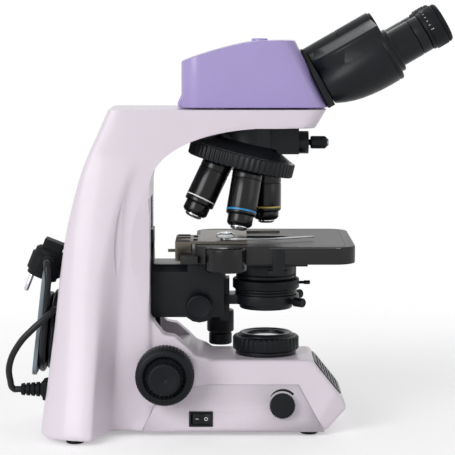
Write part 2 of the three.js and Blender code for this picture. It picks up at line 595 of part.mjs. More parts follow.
function rubberFoot(x, y) {
  return lathe([
    [0, 0], [FOOT.radius - FOOT.bevel, 0], [FOOT.radius, FOOT.bevel], [FOOT.radius, FOOT.height - GAP],
    [0, FOOT.height - GAP],
  ], SIDES.small).translate(x, y, 0);
}

// Illuminator in the base, and the field ring above it

function fieldLensMount() {
  const lensSeat = PORT.lensLow;
  return lathe([
    [PORT.opening - PORT.lensSeat, lensSeat - PORT.lensSeat], [PORT.opening - PORT.lensSeat, PORT.spigotLow],
    [PORT.spigotRadius, PORT.spigotLow], [PORT.spigotRadius, BASE.top + GAP],
    [PORT.flangeRadius, BASE.top + GAP], [PORT.flangeRadius, PORT.flangeTop],
    [PORT.tubeRadius, PORT.flangeTop], [PORT.tubeRadius, PORT.rimTop - PORT.rimBevel],
    [PORT.tubeRadius - PORT.rimBevel, PORT.rimTop], [PORT.lensRadius + PORT.rimRecess, PORT.rimTop],
    [PORT.lensRadius + GAP, PORT.rimTop - PORT.rimRecess],
    [PORT.lensRadius + GAP, lensSeat - GAP], [PORT.opening - PORT.lensSeat, lensSeat - GAP],
    [PORT.opening - PORT.lensSeat, lensSeat - PORT.lensSeat],
  ], SIDES.medium);
}

function fieldLens() {
  const edge = PORT.lensLow + PORT.lensEdge;
  return lathe([
    [0, PORT.lensLow], [PORT.lensRadius, PORT.lensLow], [PORT.lensRadius, edge],
    [0.8 * PORT.lensRadius, edge + 0.36 * PORT.lensCrown],
    [0.5 * PORT.lensRadius, edge + 0.75 * PORT.lensCrown],
    [0, edge + PORT.lensCrown],
  ], SIDES.medium);
}

function ledModule() {
  const fin = (LAMP.finTop - LAMP.baseTop) / LAMP.fins;
  const profile = [[0, FOOT.height + COVER.floor + GAP], [LAMP.radius, FOOT.height + COVER.floor + GAP]];
  for (let i = 0; i < LAMP.fins; i++) {
    const low = LAMP.baseTop + i * fin;
    profile.push([LAMP.radius, low], [LAMP.coreRadius, low], [LAMP.coreRadius, low + fin / 2],
      [LAMP.radius, low + fin / 2]);
  }
  profile.push([LAMP.radius, LAMP.finTop], [LAMP.domeRadius, LAMP.finTop],
    [0.7 * LAMP.domeRadius, LAMP.finTop + 0.7 * LAMP.domeRadius], [0, LAMP.finTop + LAMP.domeRadius]);
  return lathe(profile, SIDES.small);
}

// Focusing: coarse tube and fine shaft on one axis along Y, a rack, and the carrier on its rail

// Lays a geometry along the focusing axis, outwards to the left
const alongY = (geometry) => geometry.rotateX(Math.PI / 2).translate(FOCUS.x, 0, FOCUS.z);

function coarseShaft() {
  const reach = COARSE_START + GAP + FOCUS.tubeProud;
  const tube = ring(FOCUS.tubeBore, FOCUS.tubeRadius, -reach, reach, SIDES.small);
  const pinion = new THREE.Shape(toothOutline());
  pinion.holes.push(circlePath((FOCUS.tubeRadius + FOCUS.tubeBore) / 2, SIDES.small));
  const wheel = raised(pinion, -FOCUS.pinionHalfWidth, FOCUS.pinionHalfWidth, 1);
  return alongY(join(tube, wheel));
}

// Teeth with straight flanks, one tooth pointing towards -X, where the rack is
function toothOutline() {
  const pitch = (2 * Math.PI) / FOCUS.pinionTeeth;
  const flankShares = [[-0.3, 0], [-0.11, 1], [0.11, 1], [0.3, 0]];
  return Array.from({ length: FOCUS.pinionTeeth }, (_, i) =>
    flankShares.map(([turnShare, riseShare]) => {
      const angle = Math.PI + (i + turnShare) * pitch;
      const radius = FOCUS.pinionRoot + riseShare * (FOCUS.pinionTip - FOCUS.pinionRoot);
      return new THREE.Vector2(radius * Math.cos(angle), radius * Math.sin(angle));
    })).flat();
}

function coarseKnob(side) {
  const { length, radius, stepRise } = COARSE;
  const bore = FOCUS.tubeRadius + GAP;
  const low = COARSE_START + GAP;
  const gripTop = low + COARSE.gripShare * length;
  const face = low + length;
  const grip = grippedRing(bore, radius, low, gripTop, COARSE.grips, COARSE.gripDepth);
  const crown = lathe([
    [bore, gripTop - COARSE.gripDepth], [radius - COARSE.gripDepth, gripTop - COARSE.gripDepth],
    [radius - COARSE.gripDepth, face - 2 * stepRise], [COARSE.rim, face - stepRise / 2], [COARSE.step, face],
    [COARSE.step - stepRise / 2, face - stepRise], [bore, face - stepRise],
    [bore, gripTop - COARSE.gripDepth],
  ]);
  return alongYSide(join(grip, crown), side);
}

function alongYSide(geometry, side) {
  const placed = geometry.rotateX(Math.PI / 2);
  return (side < 0 ? placed : placed.rotateZ(Math.PI)).translate(FOCUS.x, 0, FOCUS.z);
}

// Both fine knobs sit just off the faces of the coarse knobs
const FINE_SEAT = COARSE_START + COARSE.length - COARSE.stepRise + 2 * GAP;

function fineKnob(side) {
  const end = FINE_SEAT + FINE.length;
  const knob = lathe([
    [0, FINE_SEAT], [FINE.neck, FINE_SEAT], [FINE.radius, FINE_SEAT + COARSE.stepRise / 2],
    [FINE.radius, end - FINE.dome], [0.8 * FINE.radius, end - 0.4 * FINE.dome], [0.4 * FINE.radius, end],
    [0, end],
  ], SIDES.medium);
  return alongYSide(knob, side);
}

// The shaft is turned in one with the right-hand knob and ends in a blind bore of the left one
function fineShaft() {
  const reach = FINE_SEAT + FINE.socket;
  return alongY(disc(FOCUS.shaftRadius, -reach, reach, SIDES.tiny));
}

function fineSocket() {
  const end = FINE_SEAT + FINE.socket + GAP;
  return alongY(disc(FOCUS.shaftRadius + GAP, 0, end, SIDES.tiny));
}

function focusRail() {
  const side = RAIL.slotHalf - GAP;
  const plan = shapeOf([
    [RAIL.backX, -side], [RAIL.reachX, -side], [RAIL.reachX, -RAIL.sideHalf], [RAIL.webX, -RAIL.sideHalf],
    [RAIL.webX, RAIL.sideHalf], [RAIL.reachX, RAIL.sideHalf], [RAIL.reachX, side], [RAIL.backX, side],
  ]);
  return raised(plan, RAIL.lowZ + GAP, RAIL.topZ, 1);
}

function rackShape() {
  const pitch = (2 * Math.PI * FOCUS.pitchRadius) / FOCUS.pinionTeeth;
  const tipX = FOCUS.x - RACK.toothTip;
  const rootX = tipX - RACK.toothDepth;
  const points = [[rootX - RACK.back, CARRIER.tongueLowZ + OVERRUN], [rootX - RACK.back, RACK.lowZ]];
  const first = Math.ceil((RACK.lowZ - FOCUS.z) / pitch);
  const last = Math.floor((CARRIER.lowZ - OVERRUN - FOCUS.z) / pitch) - 1;
  const flankShares = [[0.22, 0], [0.41, 1], [0.59, 1], [0.78, 0]];
  points.push([rootX, RACK.lowZ]);
  for (let i = first; i <= last; i++) {
    for (const [stepShare, riseShare] of flankShares) {
      points.push([rootX + riseShare * RACK.toothDepth, FOCUS.z + (i + stepShare) * pitch]);
    }
  }
  points.push([rootX, CARRIER.tongueLowZ + OVERRUN]);
  return shapeOf(points);
}

function focusCarrier() {
  const { rearX, frontX, half, lowZ, highZ } = CARRIER;
  const block = widened(shapeOf([
    [rearX, lowZ], [frontX, lowZ], [frontX, highZ], [rearX, highZ],
  ]), -half, half);
  const boss = disc(CARRIER.bossRadius, -half, half, SIDES.medium).rotateX(Math.PI / 2)
    .translate(CONDENSER_KNOB.x, 0, CONDENSER_KNOB.z);
  const tongue = box([CARRIER.tongueRearX, rearX + OVERRUN], [-CARRIER.tongueHalf, CARRIER.tongueHalf],
    [CARRIER.tongueLowZ, CARRIER.tongueHighZ]);
  const rack = widened(rackShape(), -RACK.half, RACK.half);
  const facets = [-1, 1].map((side) =>
    new THREE.BoxGeometry(CARRIER.facetX - rearX, half, half)
      .rotateX(side * 45 * DEGREE)
      .translate((rearX + CARRIER.facetX) / 2 - OVERRUN, side * half, highZ + 0.48 * half));
  return cut(join(block, boss, tongue, rack), ...facets, condenserKnobBore(), dovetailSlot());
}

function condenserKnobBore() {
  return disc(CONDENSER_KNOB.shaftRadius + GAP, CARRIER.half - CONDENSER_KNOB.shaftReach - GAP,
    CARRIER.half + OVERRUN, SIDES.tiny)
    .rotateX(Math.PI / 2).translate(CONDENSER_KNOB.x, 0, CONDENSER_KNOB.z);
}

// The slot in the carrier's front face that the condenser's slide runs in
function dovetailSlot() {
  const half = CONDENSER.plateHalf + GAP;
  return raised(shapeOf([
    [CARRIER.frontX - CONDENSER.slideDepth - GAP, -half], [CARRIER.frontX + OVERRUN, -half],
    [CARRIER.frontX + OVERRUN, half], [CARRIER.frontX - CONDENSER.slideDepth - GAP, half],
  ]), CARRIER.lowZ - OVERRUN, CARRIER.highZ + OVERRUN, 1);
}

// Stage: bed on the carrier, table on the bed, slide holder and its spring finger on the table

function stageBed() {
  const plan = shapeOf([
    [BED.rearX, -BED.half], [BED.frontX, -BED.half], [BED.frontX, BED.half], [BED.rearX, BED.half],
  ]);
  plan.holes.push(circlePath(BED.holeRadius, SIDES.medium));
  return raised(plan, BED.lowZ, BED.highZ, 1);
}

function stageOutline(inset, corner) {
  return roundedShape([STAGE.rearX + inset, STAGE.frontX - inset], [-STAGE.half + inset, STAGE.half - inset],
    corner);
}

function stageTable() {
  const { lowZ, highZ } = STAGE;
  const table = cut(
    raised(stageOutline(0, STAGE.corner), lowZ, highZ),
    raised(stageOutline(STAGE.skirt, STAGE.corner - STAGE.skirt), lowZ - OVERRUN, highZ - STAGE.deck),
  );
  const runners = [[-STAGE.runnerOuter, -STAGE.runnerInner], [STAGE.runnerInner, STAGE.runnerOuter]].map(
    (across) => box([BED.rearX, BED.frontX], across, [BED.highZ + GAP, highZ - STAGE.deck + GAP]));
  const housing = disc(CROSS.radius, CROSS.lowZ, highZ - STAGE.deck + GAP, SIDES.medium)
    .translate(CROSS.x, CROSS.y, 0);
  const rail = box([CROSS.rearX, STAGE.rearX + OVERRUN], [-CROSS.railHalf, CROSS.railHalf],
    [CROSS.railLowZ, CROSS.railHighZ]);
  const bracket = join(
    box([BRACKET.x - BRACKET.width / 2, BRACKET.x + BRACKET.width / 2],
      [-STAGE.half - BRACKET.thick, -STAGE.half + GAP], [BRACKET.lowZ, BRACKET.highZ]),
    box([BRACKET.x - BRACKET.flange / 2, BRACKET.x + BRACKET.flange / 2],
      [-STAGE.half - BRACKET.thick, -STAGE.half + 3 * BRACKET.thick],
      [BRACKET.lowZ, BRACKET.lowZ + BRACKET.flangeRise]),
  );
  const knobMount = disc(STAGE_KNOBS.tubeRadius + STAGE_KNOBS.bossWall, STAGE_KNOBS.bossLow,
    highZ - STAGE.deck + GAP, SIDES.small).translate(STAGE_KNOBS.x, STAGE_KNOBS.y, 0);
  const slot = roundedShape([STAGE.slotRearX, STAGE.slotFrontX], [-STAGE.slotHalf, STAGE.slotHalf],
    STAGE.slotHalf - GAP);
  return cut(
    join(table, ...runners, housing, rail, bracket, knobMount),
    raised(slot, lowZ, highZ + OVERRUN, 3),
    disc(STAGE_KNOBS.tubeRadius + GAP, STAGE_KNOBS.bossLow - OVERRUN, STAGE_KNOBS_TOP + GAP, SIDES.small)
      .translate(STAGE_KNOBS.x, STAGE_KNOBS.y, 0),
  );
}

function slideHolder() {
  const low = STAGE.highZ + GAP;
  const high = low + HOLDER.plate;
  const jawY = HOLDER.farY - HOLDER.jawWidth;
  const rootY = HOLDER.farY - HOLDER.jawRootWidth;
  const plate = box([HOLDER.armRearX, HOLDER.frontX], [HOLDER.nearY, jawY], [low, high]);
  const jaw = shapeOf([
    [HOLDER.frontX - HOLDER.lap, rootY], [HOLDER.frontX + HOLDER.lap, HOLDER.farY - HOLDER.jawTaper],
    [HOLDER.jawFrontX, jawY], [HOLDER.jawFrontX, HOLDER.farY],
    [HOLDER.armRearX, HOLDER.farY], [HOLDER.armRearX, rootY],
  ]);
  const bridge = box([HOLDER.rearX, HOLDER.armRearX + HOLDER.lap],
    [HOLDER.carriageNearY, HOLDER.carriageFarY], [low, high]);
  const block = box([HOLDER.rearX, CROSS.rearX - GAP], [HOLDER.carriageNearY, HOLDER.carriageFarY],
    [HOLDER.lowZ - HOLDER.carriageDrop, high]);
  const cap = box([HOLDER.rearX, HOLDER.tabFrontX], [HOLDER.carriageNearY, HOLDER.carriageFarY],
    [HOLDER.lowZ, high]);
  const pin = disc(HOLDER.pinRadius, 0, HOLDER.pinLength, SIDES.tiny).rotateY(-Math.PI / 2)
    .translate(HOLDER.rearX + HOLDER.lap, HOLDER.carriageNearY + HOLDER.pinInset,
      HOLDER.lowZ + HOLDER.pinRise);
  const stud = disc(NUT.studRadius, high - HOLDER.lap, high + NUT.rise - HOLDER.lap, SIDES.tiny)
    .translate(NUT.x, NUT.y, 0);
  return join(plate, raised(jaw, low, high, 1), bridge, block, cap, pin, stud);
}

function holderNut() {
  const low = STAGE.highZ + 2 * GAP + HOLDER.plate + FINGER.thick + FINGER.clear;
  return grippedRing(NUT.studRadius + GAP, NUT.radius, low, low + NUT.rise, NUT.grips, NUT.gripDepth)
    .translate(NUT.x, NUT.y, 0);
}

function springFinger() {
  const low = STAGE.highZ + GAP + HOLDER.plate + GAP;
  const edge = (share) => FINGER.width + share * (FINGER.tipWidth - FINGER.width);
  const spine = new THREE.QuadraticBezierCurve(
    new THREE.Vector2(NUT.x, NUT.y), new THREE.Vector2(FINGER.bendX, FINGER.bendY),
    new THREE.Vector2(FINGER.tipX, FINGER.tipY),
  );
  const shares = [0, 0.15, 0.3, 0.45, 0.6, 0.75, 0.9, 1];
  const edgePoint = (share, side) => {
    const point = spine.getPoint(share);
    const along = spine.getTangent(share);
    const half = edge(share) / 2;
    return [point.x - side * along.y * half, point.y + side * along.x * half];
  };
  const blade = shapeOf([
    ...shares.map((s) => edgePoint(s, -1)), ...shares.toReversed().map((s) => edgePoint(s, 1)),
  ]);
  const high = low + FINGER.thick;
  return cut(
    join(
      raised(blade, low, high, 1),
      disc(FINGER.rootRadius, low, high, SIDES.small).translate(NUT.x, NUT.y, 0),
    ),
    disc(NUT.studRadius + GAP, low - OVERRUN, high + OVERRUN, SIDES.tiny).translate(NUT.x, NUT.y, 0),
  );
}

function stageUpperKnob() {
  const { x, y, upperLow, upperHigh, tubeBore, tubeRadius, upperRadius } = STAGE_KNOBS;
  return join(
    ring(tubeBore, tubeRadius, upperLow, STAGE_KNOBS_TOP, SIDES.small),
    grippedRing((tubeBore + tubeRadius) / 2, upperRadius, upperLow, upperHigh, STAGE_KNOBS.grips,
      STAGE_KNOBS.gripDepth),
  ).translate(x, y, 0);
}

function stageLowerKnob() {
  const { x, y, lowerLow, lowerHigh, shaftRadius, lowerRadius } = STAGE_KNOBS;
  return join(
    disc(shaftRadius, (lowerLow + lowerHigh) / 2, STAGE_KNOBS_TOP, SIDES.tiny),
    grippedRing(0, lowerRadius, lowerLow, lowerHigh, STAGE_KNOBS.grips, STAGE_KNOBS.gripDepth),
  ).translate(x, y, 0);
}

// Condenser on its own slide, with the aperture ring, two centring screws and a focusing knob

function condenserCarrier() {
  const { ringLow, ringHigh, ringOuter, ringInner, plateHalf } = CONDENSER;
  const plate = box([CARRIER.frontX - CONDENSER.slideDepth, CONDENSER.plateFrontX], [-plateHalf, plateHalf],
    [CONDENSER.plateLow, CONDENSER.plateHigh]);
  const arm = box([CARRIER.frontX + GAP, -ringInner], [-CONDENSER.armHalf, CONDENSER.armHalf],
    [ringLow, ringHigh]);
  return cut(
    join(plate, arm, disc(ringOuter, ringLow, ringHigh)),
    disc(ringInner, ringLow - OVERRUN, ringHigh + OVERRUN, SIDES.medium),
    ...[-1, 1].map((side) => centringPlaced(
      disc(CENTRING.radius + GAP, ringInner - OVERRUN, ringOuter + OVERRUN, SIDES.tiny), side)),
  );
}

function condenserBody() {
  const c = CONDENSER;
  const body = lathe([
    [0, c.spigotLow], [c.spigotRadius, c.spigotLow], [c.spigotRadius, c.ringHigh + GAP],
    [c.collarRadius, c.ringHigh + GAP], [c.collarRadius, c.collarTop], [c.coreRadius, c.collarTop],
    [c.coreRadius, c.bodyLow], [c.bodyRadius, c.bodyLow], [c.bodyRadius, c.bodyTop - c.bevel],
    [c.bodyRadius - c.bevel, c.bodyTop], [c.noseFoot, c.bodyTop], [c.noseRadius, c.noseTop - c.noseLength],
    [c.noseRadius, c.noseTop], [0, c.noseTop],
  ], SIDES.medium);
  const post = disc(c.postRadius, c.bodyLow, c.bodyTop, SIDES.small).translate(c.postX, -c.postRadius, 0);
  return cut(
    join(body, post),
    ...[-1, 1].map((side) => centringPlaced(
      disc(CENTRING.radius + GAP, CENTRING.boreStart, c.collarRadius + OVERRUN, SIDES.tiny), side)),
  );
}

function apertureRing() {
  const lever = disc(IRIS.leverRadius, 0, IRIS.leverLength + IRIS.leverRoot, SIDES.tiny)
    .rotateY(Math.PI / 2).translate(IRIS.outer - IRIS.leverRoot, 0, (IRIS.lowZ + IRIS.highZ) / 2);
  return join(
    grippedRing(IRIS.inner, IRIS.outer, IRIS.lowZ, IRIS.highZ - GAP, IRIS.grips, IRIS.gripDepth),
    lever,
  );
}

// Lays a geometry along a centring screw's axis, which starts on the optical axis
function centringPlaced(geometry, side) {
  return geometry.rotateY(Math.PI / 2).rotateZ(side * CENTRING.angle * DEGREE)
    .translate(0, 0, CENTRING.z);
}

function centringScrew(side) {
  return centringPlaced(join(
    disc(CENTRING.radius, CENTRING.start, CENTRING.headStart + CENTRING.radius, SIDES.tiny),
    disc(CENTRING.headRadius, CENTRING.headStart, CENTRING.end, SIDES.small),
  ), side);
}

function condenserKnob() {
  const { start, length, radius, bevel, shaftRadius, shaftReach } = CONDENSER_KNOB;
  const end = start + length;
  return lathe([
    [0, start - shaftReach], [shaftRadius, start - shaftReach], [shaftRadius, start], [radius - bevel, start],
    [radius, start + bevel], [radius, end - bevel], [radius - bevel, end], [0, end],
  ], SIDES.medium).rotateX(Math.PI / 2).translate(CONDENSER_KNOB.x, 0, CONDENSER_KNOB.z);
}

// Nosepiece: a fixed mount under the arm and a tilted revolving turret, both about the same apex

function tiltedAtApex(geometry) {
  return geometry.rotateY(NOSEPIECE.tilt * DEGREE).translate(0, 0, NOSEPIECE.apexZ);
}

function nosepieceMount() {
  const m = MOUNT;
  const ceiling = ARM.underside - GAP;
  const drop = NOSEPIECE.apexZ - m.blockLow;
  const blank = join(
    disc(m.discRadius, m.blockLow, ceiling, SIDES.medium).translate(m.discX, 0, 0),
    box([m.discX, m.blockFrontX], [-m.blockHalf, m.blockHalf], [m.blockLow, ceiling]),
  );
  const belowPlate = tiltedAtApex(disc(2 * m.discRadius, -2 * drop, -NOSEPIECE.plateTop + GAP, SIDES.medium));
  const body = cut(blank, cut(belowPlate,
    box([m.blockRearX, m.blockFrontX + m.clear], [-m.blockHalf - m.clear, m.blockHalf + m.clear],
      [m.blockLow - m.clear, ceiling])));
  const turretSpace = tiltedAtApex(lathe([
    [0, -NOSEPIECE.ringBottom], [NOSEPIECE.ringRadius + m.clear, -NOSEPIECE.ringBottom],
    [NOSEPIECE.ringRadius + m.clear, -NOSEPIECE.ringTop + m.clear],
    [NOSEPIECE.coneRadius + m.clear, -NOSEPIECE.ringTop + m.clear],
    [NOSEPIECE.plateRadius + m.clear, -NOSEPIECE.plateTop + GAP], [0, -NOSEPIECE.plateTop + GAP],
  ], SIDES.medium));
  const hub = tiltedAtApex(disc(m.hubRadius, -NOSEPIECE.plateTop - m.hubDrop,
    -NOSEPIECE.plateTop + m.hubRoot, SIDES.small));
  const drum = disc(m.drumRadius, m.blockFrontX - m.clear, m.drumFrontX, SIDES.medium)
    .rotateY(Math.PI / 2).translate(0, 0, m.drumZ);
  return cut(
    join(cut(body, turretSpace), hub, drum),
    disc(m.lightBore, m.boreLow, ceiling + OVERRUN, SIDES.small),
    disc(CLAMP.stemRadius + GAP, m.drumFrontX - CLAMP.reach - GAP, m.drumFrontX + OVERRUN, SIDES.tiny)
      .rotateY(Math.PI / 2).translate(0, 0, m.drumZ),
  );
}

function clampKnob() {
  const c = CLAMP;
  return join(
    disc(c.stemRadius, MOUNT.drumFrontX - c.reach, c.gripStartX + c.lap, SIDES.tiny),
    grippedRing(0, c.gripRadius, c.gripStartX, c.gripEndX, c.flutes, c.fluteDepth),
    disc(c.tipRadius, c.gripEndX - c.lap, c.gripEndX + c.tip, SIDES.tiny),
  ).rotateY(Math.PI / 2).translate(0, 0, MOUNT.drumZ);
}

function turretBody() {
  const n = NOSEPIECE;
  const shell = lathe([
    [0, -n.floorTip], [n.floorEdge, -n.floorRise], [n.ringInner, -n.ringBottom],
    [n.ringRadius - n.gripDepth, -n.ringBottom], [n.ringRadius - n.gripDepth, -n.ringTop],
    [n.coneRadius, -n.ringTop], [n.plateRadius, -n.plateTop], [n.bearing, -n.plateTop],
    [n.bearing, -n.cavityTop], [n.plateRadius - n.plateRim, -n.cavityTop],
    [n.cavityRadius, -n.cavityShoulder],
    [n.cavityRadius, -n.floorRise + n.floorSkin], [0, -n.floorTip + n.skin],
  ]);
  const grips = grippedRing(n.ringInner, n.ringRadius, -n.ringBottom + n.gripDepth, -n.ringTop - n.gripDepth,
    n.grips, n.gripDepth);
  const sockets = Array.from({ length: 360 / n.port }, (_, i) =>
    onPort(disc(n.socketRadius, -n.seat - OVERRUN, -n.seat + n.skin + OVERRUN, SIDES.small), i));
  return tiltedAtApex(cut(join(shell, grips), ...sockets));
}

// Lays a geometry along a port's axis inside the turret, with its seat at -seat
function onPort(geometry, port) {
  return geometry.rotateY(-NOSEPIECE.tilt * DEGREE).rotateZ(port * NOSEPIECE.port * DEGREE);
}

function objective({ port, length, radius, step }) {
  const o = OBJECTIVE;
  const seat = -NOSEPIECE.seat - GAP;
  const end = seat - length + GAP;
  const stepZ = end + step;
  const stepRadius = radius - (o.radius - o.stepRadius);
  return tiltedAtApex(onPort(lathe([
    [0, end], [o.faceRadius, end], [o.tipRadius, end + o.tipLength / 2], [o.tipRadius, end + o.tipLength],
    [stepRadius - o.cone, end + o.tipLength], [stepRadius, end + o.tipLength + o.cone], [stepRadius, stepZ],
    [radius - o.chamfer, stepZ], [radius, stepZ + o.chamfer], [radius, seat], [o.thread, seat],
    [o.thread, seat + o.threadDepth], [0, seat + o.threadDepth],
  ], SIDES.medium), port));
}

function portCap() {
  const o = OBJECTIVE;
  const seat = -NOSEPIECE.seat - GAP;
  return tiltedAtApex(onPort(lathe([
    [0, seat - CAP.height], [CAP.radius - CAP.bevel, seat - CAP.height],
    [CAP.radius, seat - CAP.height + CAP.bevel],
    [CAP.radius, seat], [o.thread, seat], [o.thread, seat + o.threadDepth], [0, seat + o.threadDepth],
  ], SIDES.small), CAP.port));
}

// Head: a dovetail in the arm, the housing above it and the binocular tubes on its sloped front

function headDovetail() {
  const d = DOVETAIL;
  const seat = ARM.top + GAP;
  return lathe([
    [d.bore, ARM.top - d.spigotDepth], [d.spigotRadius, ARM.top - d.spigotDepth], [d.spigotRadius, seat],
    [d.radius, seat], [d.radius, seat + d.plate], [d.bore, seat + d.plate], [d.bore, ARM.top - d.spigotDepth],
  ], SIDES.medium);
}

const HEAD_FLOOR = ARM.top + GAP + DOVETAIL.plate + HEAD.gap;

function headHousing() {
  const h = HEAD;
  const profile = (inset) => shapeOf([
    [h.rearX + inset, HEAD_FLOOR + inset], [h.frontX - inset, HEAD_FLOOR + inset],
    [h.browX - inset, h.browZ - inset], [h.crownX, h.crownZ - inset], [h.rearX + inset, h.rearTopZ - inset],
  ]);
  const plan = (inset) => roundedShape([h.rearX + inset, h.frontX - inset], [-h.half + inset, h.half - inset],
    h.corner - inset);
  const outer = shared(
    widened(profile(0), -h.half, h.half),
    raised(plan(0), HEAD_FLOOR, h.browZ + OVERRUN),
  );
  const heel = lengthened(
    roundedShape([-h.heelHalf, h.heelHalf], [HEAD_FLOOR, h.heelTop], h.heelCorner, 3),
    h.heelX, h.rearX + OVERRUN,
  );
  const inner = shared(
    widened(profile(h.wall), -h.half + h.wall, h.half - h.wall),
    raised(plan(h.wall), HEAD_FLOOR, h.browZ, 2),
  );
  const topCap = disc(h.capRadius, h.browZ - h.wall / 2, h.browZ + h.capRise, SIDES.small)
    .translate(h.capX, 0, 0);
  const lightWell = disc(DOVETAIL.bore, HEAD_FLOOR - OVERRUN, HEAD_FLOOR + h.wall + OVERRUN, SIDES.small);
  const lightPort = inWedgeFrame(disc(DOVETAIL.bore, -3 * h.wall, 3 * OVERRUN, SIDES.small)
    .rotateY(Math.PI / 2).translate(0, 0, HINGE.n));
  return join(cut(outer, inner, lightPort, lightWell), heel, topCap);
}

// In the binocular's own frame X runs along the tubes, Z is square to them and upwards
function inWedgeFrame(geometry) {
  return geometry.rotateY(-WEDGE.tilt * DEGREE).translate(WEDGE.originX, 0, WEDGE.originZ);
}

const alongTube = (geometry, y, n) => geometry.rotateY(Math.PI / 2).translate(0, y, n);

function wedgePlate() {
  const w = WEDGE;
  const side = shapeOf([
    [-w.face, w.topN], [-w.topBack, w.topN], [-w.lowBack, w.lowN], [-w.face, w.lowN],
  ]);
  const front = shapeOf([
    [-w.topHalf, w.topN], [-w.half, 0.45 * w.lowN], [-w.half, 0.85 * w.lowN], [-0.8 * w.half, w.lowN],
    [0.8 * w.half, w.lowN], [w.half, 0.85 * w.lowN], [w.half, 0.45 * w.lowN], [w.topHalf, w.topN],
  ]);
  const plate = shared(widened(side, -w.half, w.half), lengthened(front, -w.lowBack, 0));
  const pin = alongTube(disc(HINGE.pinRadius, -w.topBack, HINGE.length + HINGE.lid, SIDES.small), 0, HINGE.n);
  const lid = alongTube(disc(HINGE.lidRadius, HINGE.length + GAP, HINGE.length + HINGE.lid + GAP,
    SIDES.medium), 0, HINGE.n);
  return inWedgeFrame(join(plate, pin, lid));
}

// A circle of points about the tube's axis, for the housing's convex skin
function skinCircle(u, y, n, radius) {
  return Array.from({ length: BINO.skinSides }, (_, i) => {
    const angle = ((i + 0.5) / BINO.skinSides) * 2 * Math.PI;
    return new THREE.Vector3(u, y + radius * Math.cos(angle), n + radius * Math.sin(angle));
  });
}

// One half of the binocular: it swings about the hinge barrel, and side is -1 on the left
function prismHousing(side) {
  const b = BINO;
  const y = side * b.y;
  const first = GAP;
  const skin = new ConvexGeometry([
    ...skinCircle(b.backU, y, b.n, b.backRadius),
    ...skinCircle(b.midU, y, b.n, b.midRadius),
    ...skinCircle(b.frontU, y, b.n, b.frontRadius),
    ...skinCircle(b.endU, y, b.n, b.frontRadius),
    ...skinCircle(b.backU, 0, HINGE.n, 0.8 * HINGE.radius),
    ...skinCircle(b.endU, 0, HINGE.n, 0.8 * HINGE.radius),
  ]);
  const knuckle = side < 0 ? [first, HINGE.split - GAP / 2] : [HINGE.split + GAP / 2, HINGE.length];
  const other = side < 0
    ? [HINGE.split - GAP / 2, HINGE.length + OVERRUN]
    : [-OVERRUN, HINGE.split + GAP / 2];
  const away = new THREE.BoxGeometry(4 * b.tubeEnd, 4 * b.tubeEnd, 4 * b.tubeEnd)
    .translate(0, -side * 2 * b.tubeEnd, 0)
    .rotateX(side * b.openAngle * DEGREE)
    .translate(0, 0, HINGE.n);
  const barrel = alongTube(disc(HINGE.radius, ...knuckle, SIDES.medium), 0, HINGE.n);
  const collar = alongTube(disc(b.collarRadius, b.endU - OVERRUN, b.collarEnd, SIDES.medium), y, b.n);
  const tube = alongTube(disc(b.tubeRadius, b.endU - OVERRUN, b.tubeEnd, SIDES.medium), y, b.n);
  const body = cut(skin, away, alongTube(disc(HINGE.radius + 2 * GAP, ...other, SIDES.medium), 0, HINGE.n));
  return inWedgeFrame(cut(
    join(body, barrel, collar, tube),
    alongTube(disc(HINGE.pinRadius + GAP, -OVERRUN, HINGE.length + OVERRUN, SIDES.small), 0, HINGE.n),
    alongTube(disc(b.bore, b.boreStart, b.tubeEnd + OVERRUN, SIDES.medium), y, b.n),
  ));
}

function eyepieceBarrel(side) {
  const e = EYEPIECE;
  return inWedgeFrame(alongTube(lathe([
    [0, e.barrelStart], [e.barrelRadius, e.barrelStart], [e.barrelRadius, BINO.tubeEnd + GAP],
    [e.flangeRadius, BINO.tubeEnd + GAP], [e.flangeRadius, e.flangeEnd], [e.neckRadius, e.flangeEnd],
    [e.neckRadius, e.neckEnd], [e.lensBore, e.neckEnd], [e.lensBore - e.lensTaper, e.neckEnd - e.lensDepth],
    [0, e.neckEnd - e.lensDepth],
  ], SIDES.medium), side * BINO.y, BINO.n));
}

function diopterRing(side) {
  const d = DIOPTER;
  return inWedgeFrame(alongTube(lathe([
    [d.bore, d.start], [d.radius - d.bevel, d.start], [d.radius, d.start + d.bevel],
    [d.radius, d.end - d.bevel], [d.radius - d.bevel, d.end], [d.bore, d.end], [d.bore, d.start],
  ], SIDES.medium), side * BINO.y, BINO.n));
}

function eyecup(side) {
  const e = EYECUP;
  return inWedgeFrame(alongTube(lathe([
    [e.inner, e.start], [e.radius, e.start], [e.radius, e.start + 0.35 * (e.end - e.start)],
    [0.94 * e.radius, e.start + 0.8 * (e.end - e.start)], [0.87 * e.radius, e.end], [e.lip, e.end],
    [e.inner, e.start + 0.3 * (e.end - e.start)], [e.inner, e.start],
  ], SIDES.medium), side * BINO.y, BINO.n));
}

// Cord: the hanger behind the column, the hank on it, and the stretches to the connector and the plug

// Turns the hank's own frame, X across it to the right, Y up it and Z away from the column, into place
function ontoHangerPlane(geometry) {
  return geometry.applyMatrix4(HANGER_PLANE);
}
const HANGER_PLANE = new THREE.Matrix4()
  .makeTranslation(HANK.x, 0, HANK.z)
  .multiply(new THREE.Matrix4().makeRotationY(HANK.tilt * DEGREE))
  .multiply(new THREE.Matrix4().makeBasis(
    new THREE.Vector3(0, -1, 0), new THREE.Vector3(0, 0, 1), new THREE.Vector3(-1, 0, 0),
  ));
const PLATE_LOW = HANK.layer + CORD.diameter / 2 + HANGER.hankGap;

